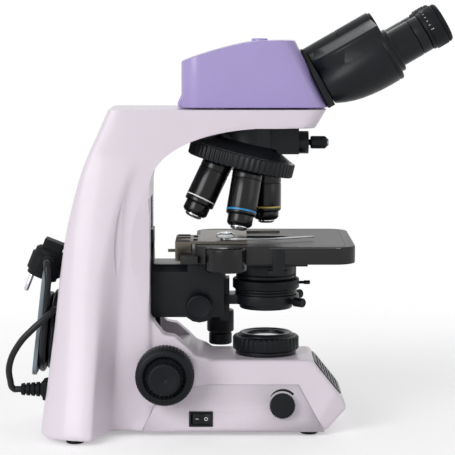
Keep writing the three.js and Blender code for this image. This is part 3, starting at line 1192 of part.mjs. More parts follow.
function cordHanger() {
  const lean = Math.cos(HANK.tilt * DEGREE);
  const plate = roundedShape([-HANGER.half, HANGER.half],
    [(HANGER.lowZ - HANK.z) / lean, (HANGER.topZ - HANK.z) / lean], HANGER.corner);
  const core = new THREE.Shape(circlePath(HANGER.coreRadius, SIDES.medium).getPoints());
  core.holes.push(circlePath(HANGER.coreRadius - HANGER.coreWall, SIDES.medium));
  const notch = box([-PLUG.y - HANGER.notchHalf, -PLUG.y + HANGER.notchHalf],
    [(HANGER.notchZ - HANK.z) / lean, HANGER.topZ], [0, PLATE_LOW + HANGER.thick + OVERRUN]);
  return ontoHangerPlane(cut(join(
    raised(plate, PLATE_LOW, PLATE_LOW + HANGER.thick, 3),
    raised(core, -HANGER.coreReach, PLATE_LOW + HANGER.thick / 2, 1),
  ), notch));
}

// The hank winds inwards in the layer next to the column, climbs, and winds outwards in the other layer
class HankCurve extends THREE.Curve {
  constructor() {
    super();
    const last = HANK.turns * 360;
    this.startTurn = HANK.leadTurn - last;
    this.span = last - this.startTurn;
  }

  getPoint(share, target = new THREE.Vector3()) {
    const turn = this.startTurn + share * this.span;
    const radius = HANK.inner + (HANK.pitch * Math.abs(turn)) / 360;
    const climb = THREE.MathUtils.smoothstep(turn, -HANK.climb / 2, HANK.climb / 2);
    const angle = turn * DEGREE;
    return target
      .set(radius * Math.cos(angle), radius * Math.sin(angle), HANK.layer * climb)
      .applyMatrix4(HANGER_PLANE);
  }
}

function tube(curve, sides, steps) {
  const section = new THREE.Shape(circlePath(CORD.diameter / 2, sides).getPoints());
  return new THREE.ExtrudeGeometry(section, { steps, extrudePath: curve, bevelEnabled: false });
}

// A free stretch leaves and arrives straight, over one diameter
function freeStretch([from, leaving], route, [to, arriving]) {
  const straight = [0, CORD.diameter / 2, CORD.diameter];
  return new THREE.CatmullRomCurve3([
    ...straight.map((reach) => from.clone().addScaledVector(leaving, GAP + reach)),
    ...route.map(([x, y, z]) => new THREE.Vector3(x, y, z)),
    ...straight.toReversed().map((reach) => to.clone().addScaledVector(arriving, -GAP - reach)),
  ]);
}

function stretchTube(curve) {
  return tube(curve, CORD.sides, Math.ceil(curve.getLength() / CORD.step));
}

function cordConnector() {
  const c = CONNECTOR;
  const face = GAP;
  const body = box([-c.width / 2, c.width / 2], [-c.height / 2, c.height / 2], [face, face + c.gripLength]);
  const nose = box([-c.noseWidth / 2, c.noseWidth / 2], [-c.noseHeight / 2, c.noseHeight / 2],
    [face - c.noseLength, face + c.lap]);
  const sockets = [[-1, -1], [0, 1], [1, -1]].map(([across, up]) =>
    disc(INLET.pinRadius + GAP, -c.noseLength - OVERRUN, 0, SIDES.tiny)
      .translate(across * INLET.pinSpread, up * INLET.pinRise, 0));
  const ribPitch = c.bootLength / c.ribs;
  const start = face + c.gripLength;
  const profile = [[0, start - c.lap], [c.bootRadius, start - c.lap]];
  for (let i = 0; i < c.ribs; i++) {
    const radius = c.bootRadius + ((i + 0.5) / c.ribs) * (c.bootEnd - c.bootRadius);
    const low = start + i * ribPitch;
    profile.push([radius, low + 0.62 * ribPitch], [radius - c.ribDepth, low + 0.68 * ribPitch],
      [radius - c.ribDepth, low + 0.94 * ribPitch], [radius, low + ribPitch]);
  }
  profile.push([0, start + c.bootLength]);
  return join(cut(join(body, nose), ...sockets), lathe(profile, SIDES.small))
    .rotateZ(-Math.PI / 2).rotateY(-Math.PI / 2)
    .translate(INLET.rearX, INLET.y, INLET.z);
}

// In the plug's own frame Z runs from the pin face up the body, and the boot leaves towards -Y
function plugPlaced(geometry) {
  return geometry.rotateY(PLUG.tilt * DEGREE).translate(PLUG.x, PLUG.y, PLUG.z);
}

function mainsPlug() {
  const p = PLUG;
  const round = lathe([
    [0, 0], [p.radius - p.rim, 0], [p.radius - p.rim / 2, p.rim / 2], [p.radius - p.rim / 2, p.rim],
    [p.radius, p.rim], [p.radius, p.rimTop], [p.neckRadius, p.rimTop], [p.neckRadius - p.rim / 2, p.shoulder],
    [0, p.shoulder],
  ], SIDES.medium);
  const flats = box([-p.radius, p.radius], [-p.flat, p.flat], [0, p.top]);
  const grip = loft([
    gripRing(p.gripHalfX - p.gripTaper, p.gripHalfY - p.gripTaper, p.rim),
    gripRing(p.gripHalfX, p.gripHalfY, p.top - p.rim),
    gripRing(p.gripHalfX, p.gripHalfY, p.top),
  ]);
  const pins = [-1, 1].map((side) => lathe([
    [0, -p.pinLength], [p.pinRadius / 2, -p.pinLength], [p.pinRadius, -p.pinLength + p.pinRadius / 2],
    [p.pinRadius, p.pinRoot], [0, p.pinRoot],
  ], SIDES.tiny).translate(side * p.pinSpread, 0, 0));
  const boot = lathe([
    [0, 0], [p.bootRadius, 0], [p.bootRadius, p.flat + p.bootReach / 3], [p.bootEnd, p.flat + p.bootReach],
    [0, p.flat + p.bootReach],
  ], SIDES.small).rotateX(Math.PI / 2).translate(p.bootX, 0, p.bootRise);
  return plugPlaced(join(shared(round, flats), grip, ...pins, boot));
}

function gripRing(halfX, halfY, z) {
  return [[-1, -1], [1, -1], [1, 1], [-1, 1]].map(([a, b]) => new THREE.Vector3(a * halfX, b * halfY, z));
}

// The least distance between two places on the hank that aren't neighbours along it, less one diameter
function leastSelfGap(curve) {
  const steps = 2 * HANK.turns * CORD.stepsPerTurn * 2;
  const points = curve.getSpacedPoints(steps);
  const apart = Math.ceil((3 * CORD.diameter * steps) / curve.getLength());
  let least = Infinity;
  for (let i = 0; i < points.length; i++) {
    for (let j = i + apart; j < points.length; j++) least = Math.min(least, points[i].distanceTo(points[j]));
  }
  return least - CORD.diameter;
}

// Assembly

const microscope = new THREE.Group();
const cord = groupAt(microscope, 0, 0, 0);
const stand = groupAt(microscope, 0, 0, 0);

const hank = new HankCurve();
const socket = new THREE.Vector3(
  INLET.rearX - GAP - CONNECTOR.gripLength - CONNECTOR.bootLength, INLET.y, INLET.z,
);
const boot = new THREE.Vector3(PLUG.bootX, -PLUG.flat - PLUG.bootReach, PLUG.bootRise)
  .applyAxisAngle(new THREE.Vector3(0, 1, 0), PLUG.tilt * DEGREE)
  .add(new THREE.Vector3(PLUG.x, PLUG.y, PLUG.z));
const lead = freeStretch([socket, new THREE.Vector3(-1, 0, 0)], LEAD_ROUTE,
  [hank.getPoint(0), hank.getTangent(0)]);
const tail = freeStretch([hank.getPoint(1), hank.getTangent(1)], TAIL_ROUTE,
  [boot, new THREE.Vector3(0, 1, 0)]);
add(cord, "cord_lead", stretchTube(lead), FINISH.rubber);
add(cord, "cord_hank", tube(hank, CORD.hankSides, 2 * HANK.turns * CORD.stepsPerTurn), FINISH.rubber);
add(cord, "cord_tail", stretchTube(tail), FINISH.rubber);
add(cord, "cord_connector", cordConnector(), FINISH.rubber);
add(cord, "mains_plug", mainsPlug(), FINISH.rubber);
add(stand, "cord_hanger", cordHanger(), FINISH.grey);
console.log(`hank: least gap to itself ${leastSelfGap(hank).toFixed(2)} mm`);
console.log(`cord: ${[lead, hank, tail].map((part) => part.getLength().toFixed(0)).join(" + ")} mm`);

add(stand, "stand_frame", standFrame(), FINISH.enamel);
add(stand, "base_cover", baseCover(), FINISH.enamel);
add(stand, "front_grille", frontGrille(), FINISH.black);
add(stand, "switch_bezel", switchBezel(), FINISH.black);
add(stand, "power_rocker", powerRocker(), FINISH.black);
add(stand, "brightness_knob", brightnessKnob(), FINISH.knob);
add(stand, "power_inlet", powerInlet(), FINISH.black);
[["rear_foot_left", FOOT.rearX, -FOOT.rearY], ["rear_foot_right", FOOT.rearX, FOOT.rearY],
  ["front_foot_left", FOOT.frontX, -FOOT.frontY], ["front_foot_right", FOOT.frontX, FOOT.frontY],
].forEach(([name, x, y]) => add(stand, name, rubberFoot(x, y), FINISH.rubber));

add(stand, "field_lens_mount", fieldLensMount(), FINISH.black);
add(stand, "field_lens", fieldLens(), FINISH.glass);
add(stand, "field_ring", grippedRing(PORT.tubeRadius + GAP, PORT.ringOuter, PORT.flangeTop + GAP,
  PORT.ringTop, PORT.grips, PORT.gripDepth), FINISH.knob);
add(stand, "led_module", ledModule(), FINISH.steel);

add(stand, "coarse_shaft", coarseShaft(), FINISH.brass);
add(stand, "coarse_knob_left", coarseKnob(-1), FINISH.knob);
add(stand, "coarse_knob_right", coarseKnob(1), FINISH.knob);
add(stand, "fine_shaft", join(fineKnob(1), fineShaft()), FINISH.knob);
add(stand, "fine_knob_left", cut(fineKnob(-1), fineSocket()), FINISH.knob);
add(stand, "focus_rail", focusRail(), FINISH.steel);
add(stand, "focus_carrier", focusCarrier(), FINISH.satin);

add(stand, "stage_bed", stageBed(), FINISH.black);
add(stand, "stage_table", stageTable(), FINISH.deck);
add(stand, "slide_holder", slideHolder(), FINISH.grey);
add(stand, "spring_finger", springFinger(), FINISH.steel);
add(stand, "holder_nut", holderNut(), FINISH.chrome);
add(stand, "stage_upper_knob", stageUpperKnob(), FINISH.knob);
add(stand, "stage_lower_knob", stageLowerKnob(), FINISH.knob);

add(stand, "condenser_carrier", condenserCarrier(), FINISH.satin);
add(stand, "condenser_body", condenserBody(), FINISH.black);
add(stand, "aperture_ring", apertureRing(), FINISH.knob);
add(stand, "centring_screw_left", centringScrew(-1), FINISH.black);
add(stand, "centring_screw_right", centringScrew(1), FINISH.black);
add(stand, "condenser_knob", condenserKnob(), FINISH.knob);

add(stand, "nosepiece_mount", nosepieceMount(), FINISH.black);
add(stand, "clamp_knob", clampKnob(), FINISH.knob);
add(stand, "turret", turretBody(), FINISH.satin);
OBJECTIVES.forEach((entry) => add(stand, entry.name, objective(entry), FINISH.black));
add(stand, "port_cap", portCap(), FINISH.knob);

add(stand, "head_dovetail", headDovetail(), FINISH.steel);
add(stand, "head_housing", headHousing(), FINISH.lilac);
add(stand, "front_plate", wedgePlate(), FINISH.black);
[["left", -1], ["right", 1]].forEach(([word, side]) => {
  add(stand, `prism_housing_${word}`, prismHousing(side), FINISH.black);
  add(stand, `eyepiece_${word}`, eyepieceBarrel(side), FINISH.satin);
  add(stand, `diopter_ring_${word}`, diopterRing(side), FINISH.knob);
  add(stand, `eyecup_${word}`, eyecup(side), FINISH.rubber);
});

// The origin is the middle of the standing microscope's box, at the table
const extent = new THREE.Box3().setFromObject(stand, true);
const middle = extent.getCenter(new THREE.Vector3());
stand.position.set(-middle.x, -middle.y, 0);
cord.position.copy(stand.position);

export default microscope;
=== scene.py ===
# %% [markdown]
# # A binocular laboratory microscope
#
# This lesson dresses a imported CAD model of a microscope. The CAD says where every piece is and how it
# moves. Here each piece gets its final shape and finish: rounded edges, turned knobs with real grips,
# a smooth enamelled casting, glass, rubber and a wound mains cord.
#
# Lengths are modelled in millimetres from the optical axis, because that is how the maker's drawing
# gives them. The last step of every piece scales it to metres and moves it into the row frame.

import json
import math

import bmesh
import bpy
from mathutils import Matrix, Vector

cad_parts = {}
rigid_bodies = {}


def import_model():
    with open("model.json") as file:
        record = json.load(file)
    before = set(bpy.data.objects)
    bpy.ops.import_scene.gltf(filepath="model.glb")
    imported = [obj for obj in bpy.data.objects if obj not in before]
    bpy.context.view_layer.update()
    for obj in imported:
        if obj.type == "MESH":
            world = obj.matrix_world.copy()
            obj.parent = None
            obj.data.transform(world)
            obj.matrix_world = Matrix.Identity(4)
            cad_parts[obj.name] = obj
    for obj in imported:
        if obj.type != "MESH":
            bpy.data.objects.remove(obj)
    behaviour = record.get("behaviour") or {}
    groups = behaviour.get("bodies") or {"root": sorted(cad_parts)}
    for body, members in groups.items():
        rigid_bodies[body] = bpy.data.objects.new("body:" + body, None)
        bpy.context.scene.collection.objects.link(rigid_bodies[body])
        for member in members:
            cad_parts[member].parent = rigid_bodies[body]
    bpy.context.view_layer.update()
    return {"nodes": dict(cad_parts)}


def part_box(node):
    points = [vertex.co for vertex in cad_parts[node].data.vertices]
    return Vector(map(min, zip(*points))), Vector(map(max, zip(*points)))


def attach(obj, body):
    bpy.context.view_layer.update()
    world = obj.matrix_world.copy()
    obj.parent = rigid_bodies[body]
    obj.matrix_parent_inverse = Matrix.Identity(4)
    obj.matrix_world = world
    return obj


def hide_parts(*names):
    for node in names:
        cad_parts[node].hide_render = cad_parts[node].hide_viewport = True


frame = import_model()
MM = 0.001

dovetail_low, dovetail_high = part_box("head_dovetail")
AXIS_X = (dovetail_low.x + dovetail_high.x) / 2
TO_ROW = Matrix.Translation((AXIS_X, 0, 0)) @ Matrix.Scale(MM, 4)

# %% [markdown]
# ## Camera
#
# The picture was taken from the left side, a little above the stage, with a long lens from about two
# metres. A long lens keeps the base and the head at nearly the same scale, as in the picture.

# %% Camera
VIEW_DISTANCE = 1.83
VIEW_RISE = math.radians(6.3)
VIEW_TARGET = Vector((AXIS_X - 0.0386, 0, 0.2001))

camera = bpy.data.objects.new("camera", bpy.data.cameras.new("camera"))
bpy.context.scene.collection.objects.link(camera)
camera.data.sensor_width = 36.0
camera.data.lens = 36.0 * VIEW_DISTANCE / 0.4558
camera.data.clip_end = 20.0
backwards = Vector((0, -math.cos(VIEW_RISE), math.sin(VIEW_RISE)))
camera.location = VIEW_TARGET + backwards * VIEW_DISTANCE
camera.rotation_mode = "QUATERNION"
camera.rotation_quaternion = (-backwards).to_track_quat("-Z", "Y")
bpy.context.scene.camera = camera
print("focal length", round(camera.data.lens, 1), "mm")

# %% [markdown]
# ## Finishes
#
# Almost everything on a microscope is painted, anodised or moulded, so one recipe serves: a base
# colour that drifts a little, a fine grain that breaks up the reflections, and a roughness that varies
# by a few percent. What sets the finishes apart is the scale and depth of the grain. The patterns read
# Object coordinates, so they stay put when a piece moves.

# %% A helper for finishes
def linear(red, green, blue):
    """A colour written as 0 to 255 becomes the linear values that the shader expects."""
    channels = [c / 255 for c in (red, green, blue)]
    return [c / 12.92 if c <= 0.04045 else ((c + 0.055) / 1.055) ** 2.4 for c in channels] + [1.0]


def finish(name, colour, roughness, grain, depth, drift=0.06, metal=0.0, coat=0.0, shine=0.5, stretch=(1, 1, 1)):
    """A finish whose grain is `grain` bumps per metre and `depth` metres deep."""
    material = bpy.data.materials.new(name)
    material.use_nodes = True
    nodes, links = material.node_tree.nodes, material.node_tree.links
    shader = nodes["Principled BSDF"]
    shader.inputs["Metallic"].default_value = metal
    shader.inputs["Specular IOR Level"].default_value = shine
    shader.inputs["Coat Weight"].default_value = coat
    shader.inputs["Coat Roughness"].default_value = 0.12
    place = nodes.new("ShaderNodeTexCoord")
    turn = nodes.new("ShaderNodeMapping")
    turn.inputs["Scale"].default_value = stretch
    links.new(place.outputs["Object"], turn.inputs["Vector"])

    cloud = nodes.new("ShaderNodeTexNoise")
    cloud.inputs["Scale"].default_value = 34.0
    cloud.inputs["Detail"].default_value = 3.0
    links.new(place.outputs["Object"], cloud.inputs["Vector"])
    tone = nodes.new("ShaderNodeMix")
    tone.data_type = "RGBA"
    base = linear(*colour)
    tone.inputs["A"].default_value = [c * (1 - drift) for c in base[:3]] + [1.0]
    tone.inputs["B"].default_value = [min(1.0, c * (1 + drift)) for c in base[:3]] + [1.0]
    links.new(cloud.outputs["Fac"], tone.inputs["Factor"])
    links.new(tone.outputs["Result"], shader.inputs["Base Color"])

    fine = nodes.new("ShaderNodeTexNoise")
    fine.inputs["Scale"].default_value = grain
    fine.inputs["Detail"].default_value = 2.0
    links.new(turn.outputs["Vector"], fine.inputs["Vector"])
    bump = nodes.new("ShaderNodeBump")
    bump.inputs["Strength"].default_value = 1.0
    bump.inputs["Distance"].default_value = depth
    links.new(fine.outputs["Fac"], bump.inputs["Height"])
    links.new(bump.outputs["Normal"], shader.inputs["Normal"])

    gloss = nodes.new("ShaderNodeMapRange")
    gloss.inputs["To Min"].default_value = max(0.02, roughness - 0.07)
    gloss.inputs["To Max"].default_value = roughness + 0.07
    links.new(fine.outputs["Fac"], gloss.inputs["Value"])
    links.new(gloss.outputs["Result"], shader.inputs["Roughness"])
    return material


# %% [markdown]
# The enamel is a sprayed paint with a faint orange-peel surface. Its colour is a white with a touch of
# pink, and the head has the same paint in lilac. The blacks are not one black: the castings are a
# bluish grey-black, the anodised turret is smoother, the knobs are moulded and dull.

# %% The finishes
enamel = finish("pinkish_white_enamel", (229, 219, 230), 0.40, 900, 0.00006, drift=0.02, coat=0.2)
lilac = finish("lilac_enamel", (172, 157, 212), 0.40, 900, 0.00006, drift=0.03, coat=0.2)
casting_black = finish("black_casting_enamel", (21, 24, 28), 0.34, 1500, 0.00005, drift=0.15, shine=0.2)
anodised = finish("black_anodised", (20, 23, 27), 0.36, 2600, 0.00002, drift=0.12, shine=0.22)
barrel_black = finish("objective_black", (10, 11, 14), 0.20, 1800, 0.00001, drift=0.1, shine=0.32)
stage_grey = finish("stage_coating", (34, 34, 34), 0.44, 2200, 0.00005, drift=0.12, shine=0.25)
holder_bronze = finish("holder_plate", (104, 98, 90), 0.42, 1600, 0.00003, drift=0.08, metal=0.5)
knob_black = finish("moulded_knob", (18, 21, 25), 0.44, 3000, 0.00004, drift=0.14, shine=0.16)
soft_black = finish("soft_rubber", (15, 17, 19), 0.62, 2400, 0.00007, drift=0.12, shine=0.16)
plastic_black = finish("black_plastic", (17, 20, 24), 0.36, 2000, 0.00003, drift=0.1, shine=0.2)
sheath_black = finish("cord_sheath", (15, 18, 22), 0.34, 1200, 0.00003, drift=0.12, shine=0.3)
hanger_grey = finish("grey_hanger_plastic", (126, 138, 147), 0.5, 1600, 0.00005, drift=0.05)
chrome = finish("polished_chrome", (205, 207, 210), 0.14, 1400, 0.00001, drift=0.03, metal=1.0)
steel = finish("brushed_steel", (150, 152, 154), 0.32, 900, 0.00002, drift=0.06, metal=1.0, stretch=(1, 14, 14))
white_ink = finish("white_ink", (232, 232, 230), 0.5, 2500, 0.00001, drift=0.02)
black_ink = finish("black_ink", (26, 24, 28), 0.5, 2500, 0.00001, drift=0.05, shine=0.2)
yellow_ring = finish("yellow_ring", (214, 190, 96), 0.38, 2500, 0.00001, drift=0.03)
blue_ring = finish("blue_ring", (30, 140, 200), 0.38, 2500, 0.00001, drift=0.03)
red_ring = finish("red_ring", (190, 52, 48), 0.38, 2500, 0.00001, drift=0.03)
frosted_glass = finish("frosted_field_glass", (206, 210, 214), 0.10, 300, 0.00001, drift=0.03, coat=1.0)
dark_glass = finish("coated_lens", (20, 24, 38), 0.05, 200, 0.000005, drift=0.2, coat=1.0)
print(len(bpy.data.materials), "finishes")

# %% [markdown]
# ## Shape helpers
#
# A turned piece is a half outline spun about its axis, which is what a lathe does. A flat piece is an
# outline that is extruded. Both come off the machine with sharp edges, so each gets a small bevel: a
# bevel catches the light along the edge, and without it a model looks cut from paper.

# %% Helpers for shapes
FULL_TURN = 2 * math.pi


def rounded(shape, width, segments=2, sharper_than=28, only=None):
    """Bevels the edges that are sharper than that many degrees."""
    limit = math.radians(sharper_than)
    edges = [
        e for e in shape.edges
        if e.is_manifold and e.calc_face_angle(0) > limit and (only is None or only(e))
    ]
    bmesh.ops.bevel(shape, geom=edges, offset=width, offset_type="OFFSET", segments=segments, profile=0.5,
                    affect="EDGES", clamp_overlap=True, material=-1)
    return shape


def turned(outline, steps=96, edge=0.4, segments=2):
    """A solid of revolution about Z from (radius, height) points in millimetres."""
    shape = bmesh.new()
    verts = [shape.verts.new((radius, 0, height)) for radius, height in outline]
    edges = [shape.edges.new(pair) for pair in zip(verts, verts[1:])]
    bmesh.ops.spin(shape, geom=verts + edges, cent=(0, 0, 0), axis=(0, 0, 1), angle=FULL_TURN,
                   steps=steps, use_merge=True)
    bmesh.ops.remove_doubles(shape, verts=shape.verts, dist=1e-4)
    bmesh.ops.recalc_face_normals(shape, faces=shape.faces)
    return rounded(shape, edge, segments) if edge else shape


def slab(outline, low, high):
    """A flat outline of (a, b) points, raised along Z from low to high."""
    shape = bmesh.new()
    face = shape.faces.new([shape.verts.new((a, b, low)) for a, b in outline])
    top = bmesh.ops.extrude_face_region(shape, geom=[face])
    moved = [v for v in top["geom"] if isinstance(v, bmesh.types.BMVert)]
    bmesh.ops.translate(shape, verts=moved, vec=(0, 0, high - low))
    bmesh.ops.recalc_face_normals(shape, faces=shape.faces)
    return shape


def rectangle(width, depth, corner=0.0, steps=8):
    """A rectangle about the origin with round corners, as outline points."""
    points = []
    for number, (a, b) in enumerate([(1, 1), (-1, 1), (-1, -1), (1, -1)]):
        centre = (a * (width / 2 - corner), b * (depth / 2 - corner))
        for i in range(steps + 1 if corner else 1):
            angle = (number + (i / steps if corner else 0)) * math.pi / 2
            points.append((centre[0] + corner * math.cos(angle), centre[1] + corner * math.sin(angle)))
    return points


def block(x, y, z):
    """A box between pairs of limits in millimetres."""
    shape = bmesh.new()
    bmesh.ops.create_cube(shape, size=1.0)
    size = Vector((x[1] - x[0], y[1] - y[0], z[1] - z[0]))
    middle = Vector((x[0] + x[1], y[0] + y[1], z[0] + z[1])) / 2
    bmesh.ops.transform(shape, matrix=Matrix.Translation(middle) @ Matrix.Diagonal((*size, 1)), verts=shape.verts)
    return shape


def placed(shape, *moves):
    """Applies the moves in the order that they are written."""
    for move in moves:
        bmesh.ops.transform(shape, matrix=move, verts=shape.verts)
    return shape


def gathered(*shapes):
    """Several shapes in one mesh."""
    whole = bmesh.new()
    for shape in shapes:
        mesh = bpy.data.meshes.new("part")
        shape.to_mesh(mesh)
        whole.from_mesh(mesh)
        bpy.data.meshes.remove(mesh)
        shape.free()
    return whole


# %% [markdown]
# Where a window has to be cut or two castings have to become one, a modifier does it better than
# moving vertices by hand. The helper below puts a shape in a scratch object, runs the modifiers and
# reads the result back.

# %% Helpers that use modifiers
def scratch(shape):
    mesh = bpy.data.meshes.new("scratch")
    shape.to_mesh(mesh)
    shape.free()
    thing = bpy.data.objects.new("scratch", mesh)
    bpy.context.scene.collection.objects.link(thing)
    return thing


def after_modifiers(thing):
    result = bmesh.new()
    result.from_object(thing, bpy.context.evaluated_depsgraph_get())
    mesh = thing.data
    bpy.data.objects.remove(thing)
    bpy.data.meshes.remove(mesh)
    return result


def combined(operation, shape, *tools):
    """UNION, DIFFERENCE or INTERSECT of a shape with the tools."""
    bench = bpy.data.collections.new("bench")
    thing = scratch(shape)
    helpers = [scratch(tool) for tool in tools]
    for helper in helpers:
        bench.objects.link(helper)
    cutter = thing.modifiers.new("combine", "BOOLEAN")
    cutter.operation = operation
    cutter.solver = "EXACT"
    cutter.operand_type = "COLLECTION"
    cutter.collection = bench
    result = after_modifiers(thing)
    for helper in helpers:
        mesh = helper.data
        bpy.data.objects.remove(helper)
        bpy.data.meshes.remove(mesh)
    bpy.data.collections.remove(bench)
    return result


def cast(shape, grid, passes):
    """Melts overlapping solids into one skin with soft edges, as a casting has."""
    thing = scratch(shape)
    melt = thing.modifiers.new("melt", "REMESH")
    melt.mode = "VOXEL"
    melt.voxel_size = grid
    soften = thing.modifiers.new("soften", "SMOOTH")
    soften.factor = 0.5
    soften.iterations = passes
    return after_modifiers(thing)


# %% [markdown]
# Grips are cut after the turning. Every vertex on the rim moves in by a wave that repeats once per
# groove. A high power makes narrow grooves with wide lands, as on the focusing knobs, and a low one
# gives the round flutes of the nosepiece ring.

# %% Helpers for grips, and the one that finishes a piece
def gripped(shape, radius, low, high, grooves, depth, power=2.0):
    """Cuts grooves into the rim between two heights."""
    for v in shape.verts:
        reach = math.hypot(v.co.x, v.co.y)
        if reach > radius - 0.9 and low < v.co.z < high:
            wave = (0.5 - 0.5 * math.cos(grooves * math.atan2(v.co.y, v.co.x))) ** power
            v.co.xy *= 1 - depth * wave / reach
    return shape


def piece(name, shape, material, body, stands_for=(), smooth=32):
    """Moves a finished shape into the row frame and lets it ride on its body."""
    bmesh.ops.transform(shape, matrix=TO_ROW, verts=shape.verts)
    mesh = bpy.data.meshes.new(name)
    shape.to_mesh(mesh)
    shape.free()
    mesh.materials.append(material)
    mesh.shade_smooth()
    mesh.set_sharp_from_angle(angle=math.radians(smooth))
    thing = bpy.data.objects.new(name, mesh)
    bpy.context.scene.collection.objects.link(thing)
    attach(thing, body)
    if stands_for:
        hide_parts(*stands_for)
    return thing


def keep(node, material):
    """A CAD node whose own shape is right gets its finish."""
    mesh = frame["nodes"][node].data
    mesh.materials.clear()
    mesh.materials.append(material)
    return frame["nodes"][node]


def eased(node, width, segments=2, sharper_than=28):
    """A copy of a CAD node, back in drawing millimetres, with its edges eased."""
    shape = bmesh.new()
    shape.from_mesh(frame["nodes"][node].data)
    bmesh.ops.transform(shape, matrix=TO_ROW.inverted(), verts=shape.verts)
    bmesh.ops.remove_doubles(shape, verts=shape.verts, dist=0.002)
    bmesh.ops.dissolve_limit(shape, angle_limit=math.radians(1.0), verts=shape.verts, edges=shape.edges)
    return rounded(shape, width, segments, sharper_than)


def to_left(x, z, y=0.0):
    """Lays a turned piece along Y, its top towards the left side."""
    return Matrix.Translation((x, y, z)) @ Matrix.Rotation(math.pi / 2, 4, "X")


def to_right(x, z, y=0.0):
    """Lays a turned piece along Y, its top towards the right side."""
    return Matrix.Translation((x, y, z)) @ Matrix.Rotation(-math.pi / 2, 4, "X")


# %% [markdown]
# ## The mains cord
#
# The cord is one tube from the connector at the inlet to the plug. It leaves the connector, runs up to
# the hanger, winds six turns onto it in two layers, and ends in the plug's boot. The free stretches go
# through listed points. The hank is a formula: the radius shrinks to the middle turn and grows
# again, and there the cord climbs from the inner layer to the outer one.

# %% Path of the cord
CORD_DIAMETER = 6.5
HANK_TURNS, HANK_START, HANK_INNER, HANK_PITCH, HANK_LAYER, HANK_CLIMB = 3, 50, 19.6, 7.05, 7.1, 80
HANK_PLANE = (
    Matrix.Translation((-212.8, 0, 96)) @ Matrix.Rotation(math.radians(6.6), 4, "Y")
    @ Matrix(((0, 0, -1, 0), (-1, 0, 0, 0), (0, 1, 0, 0), (0, 0, 0, 1)))
)
CONNECTOR_MOUTH = Vector((-243.3, -35, 42.7))
PLUG_MOUTH = Vector((-216.07, -33.5, 169.3))
LEAD_ROUTE = [(-253.5, -40, 53), (-253, -46.5, 70), (-243.5, -50, 90), (-229, -51.5, 106), (-216.5, -50, 117),
              (-210, -43.5, 123)]
TAIL_ROUTE = [(-216.6, -42.2, 134), (-214.6, -46, 152)]


def hank_point(turn):
    """The cord's centre line on the hanger, at a turn in degrees."""
    radius = HANK_INNER + HANK_PITCH * abs(turn) / 360
    share = min(1, max(0, turn / HANK_CLIMB + 0.5))
    angle = math.radians(turn)
    return HANK_PLANE @ Vector((radius * math.cos(angle), radius * math.sin(angle),
                                HANK_LAYER * share * share * (3 - 2 * share)))


def straight_run(start, direction, reaches):
    return [start + direction.normalized() * reach for reach in reaches]


last_turn = HANK_TURNS * 360
first_turn = HANK_START - last_turn
turns = [first_turn + i * 10 for i in range((last_turn - first_turn) // 10 + 1)]
hank = [hank_point(turn) for turn in turns]
entry, leaving = hank[1] - hank[0], hank[-1] - hank[-2]
cord_points = (
    straight_run(CONNECTOR_MOUTH, Vector((-1, 0, 0)), (0, 3.5, 6.8)) + [Vector(p) for p in LEAD_ROUTE]
    + straight_run(hank[0], entry, (-6.8, -3.5)) + hank + straight_run(hank[-1], leaving, (3.5, 6.8))
    + [Vector(p) for p in TAIL_ROUTE] + straight_run(PLUG_MOUTH, Vector((0, 1, 0)), (-6.8, -3.5, 0))
)
cord_length = sum((b - a).length for a, b in zip(cord_points, cord_points[1:]))
print("cord: about", round(cord_length), "mm through", len(cord_points), "points")

# %% The cord itself
cord_curve = bpy.data.curves.new("mains_cord", "CURVE")
cord_curve.dimensions = "3D"
cord_curve.resolution_u = 5
cord_curve.bevel_depth = CORD_DIAMETER / 2 * MM
cord_curve.bevel_resolution = 6
cord_curve.use_fill_caps = True
line = cord_curve.splines.new("BEZIER")
line.bezier_points.add(len(cord_points) - 1)
for knot, place in zip(line.bezier_points, cord_points):
    knot.co = TO_ROW @ place
    knot.handle_left_type = knot.handle_right_type = "AUTO"
cord_curve.materials.append(sheath_black)
mains_cord = bpy.data.objects.new("mains_cord", cord_curve)
bpy.context.scene.collection.objects.link(mains_cord)
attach(mains_cord, "stand")
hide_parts("cord_lead", "cord_hank", "cord_tail")

# %% [markdown]
# The connector has a square grip and a ribbed boot that gets thinner towards the cord, so that the cord
# can't kink at its mouth. The plug is a round body with flats, a finger grip across its back and a boot
# that comes out sideways.

# %% Connector
OUT_OF_INLET = Matrix.Translation((-212.6, -35, 42.7)) @ Matrix.Rotation(-math.pi / 2, 4, "Y")
boot_outline = [(0, 5), (8.4, 5), (8.4, 9.3), (7.6, 9.8)]
for rib in range(4):
    slit, radius = 10.6 + rib * 4.9, 7.4 - 0.4 * rib
    boot_outline += [(radius, slit), (radius - 1.5, slit + 0.15), (radius - 1.5, slit + 1.35), (radius, slit + 1.5)]
boot_outline += [(6.0, 29.6), (5.2, 30.6), (0, 30.6)]
grip = slab(rectangle(22, 26, 3.2, 6), 0.3, 8.7)
for v in grip.verts:
    if v.co.z > 8:
        v.co.xy *= 0.86
rounded(grip, 0.7, 3)
nose = rounded(slab(rectangle(16.6, 22.6, 1.5, 4), -16, 0.6), 0.3)
connector = placed(gathered(turned(boot_outline, 64, edge=0.25), grip, nose), OUT_OF_INLET)
connector_body = piece("connector_body", connector, soft_black, "stand", ["cord_connector"])

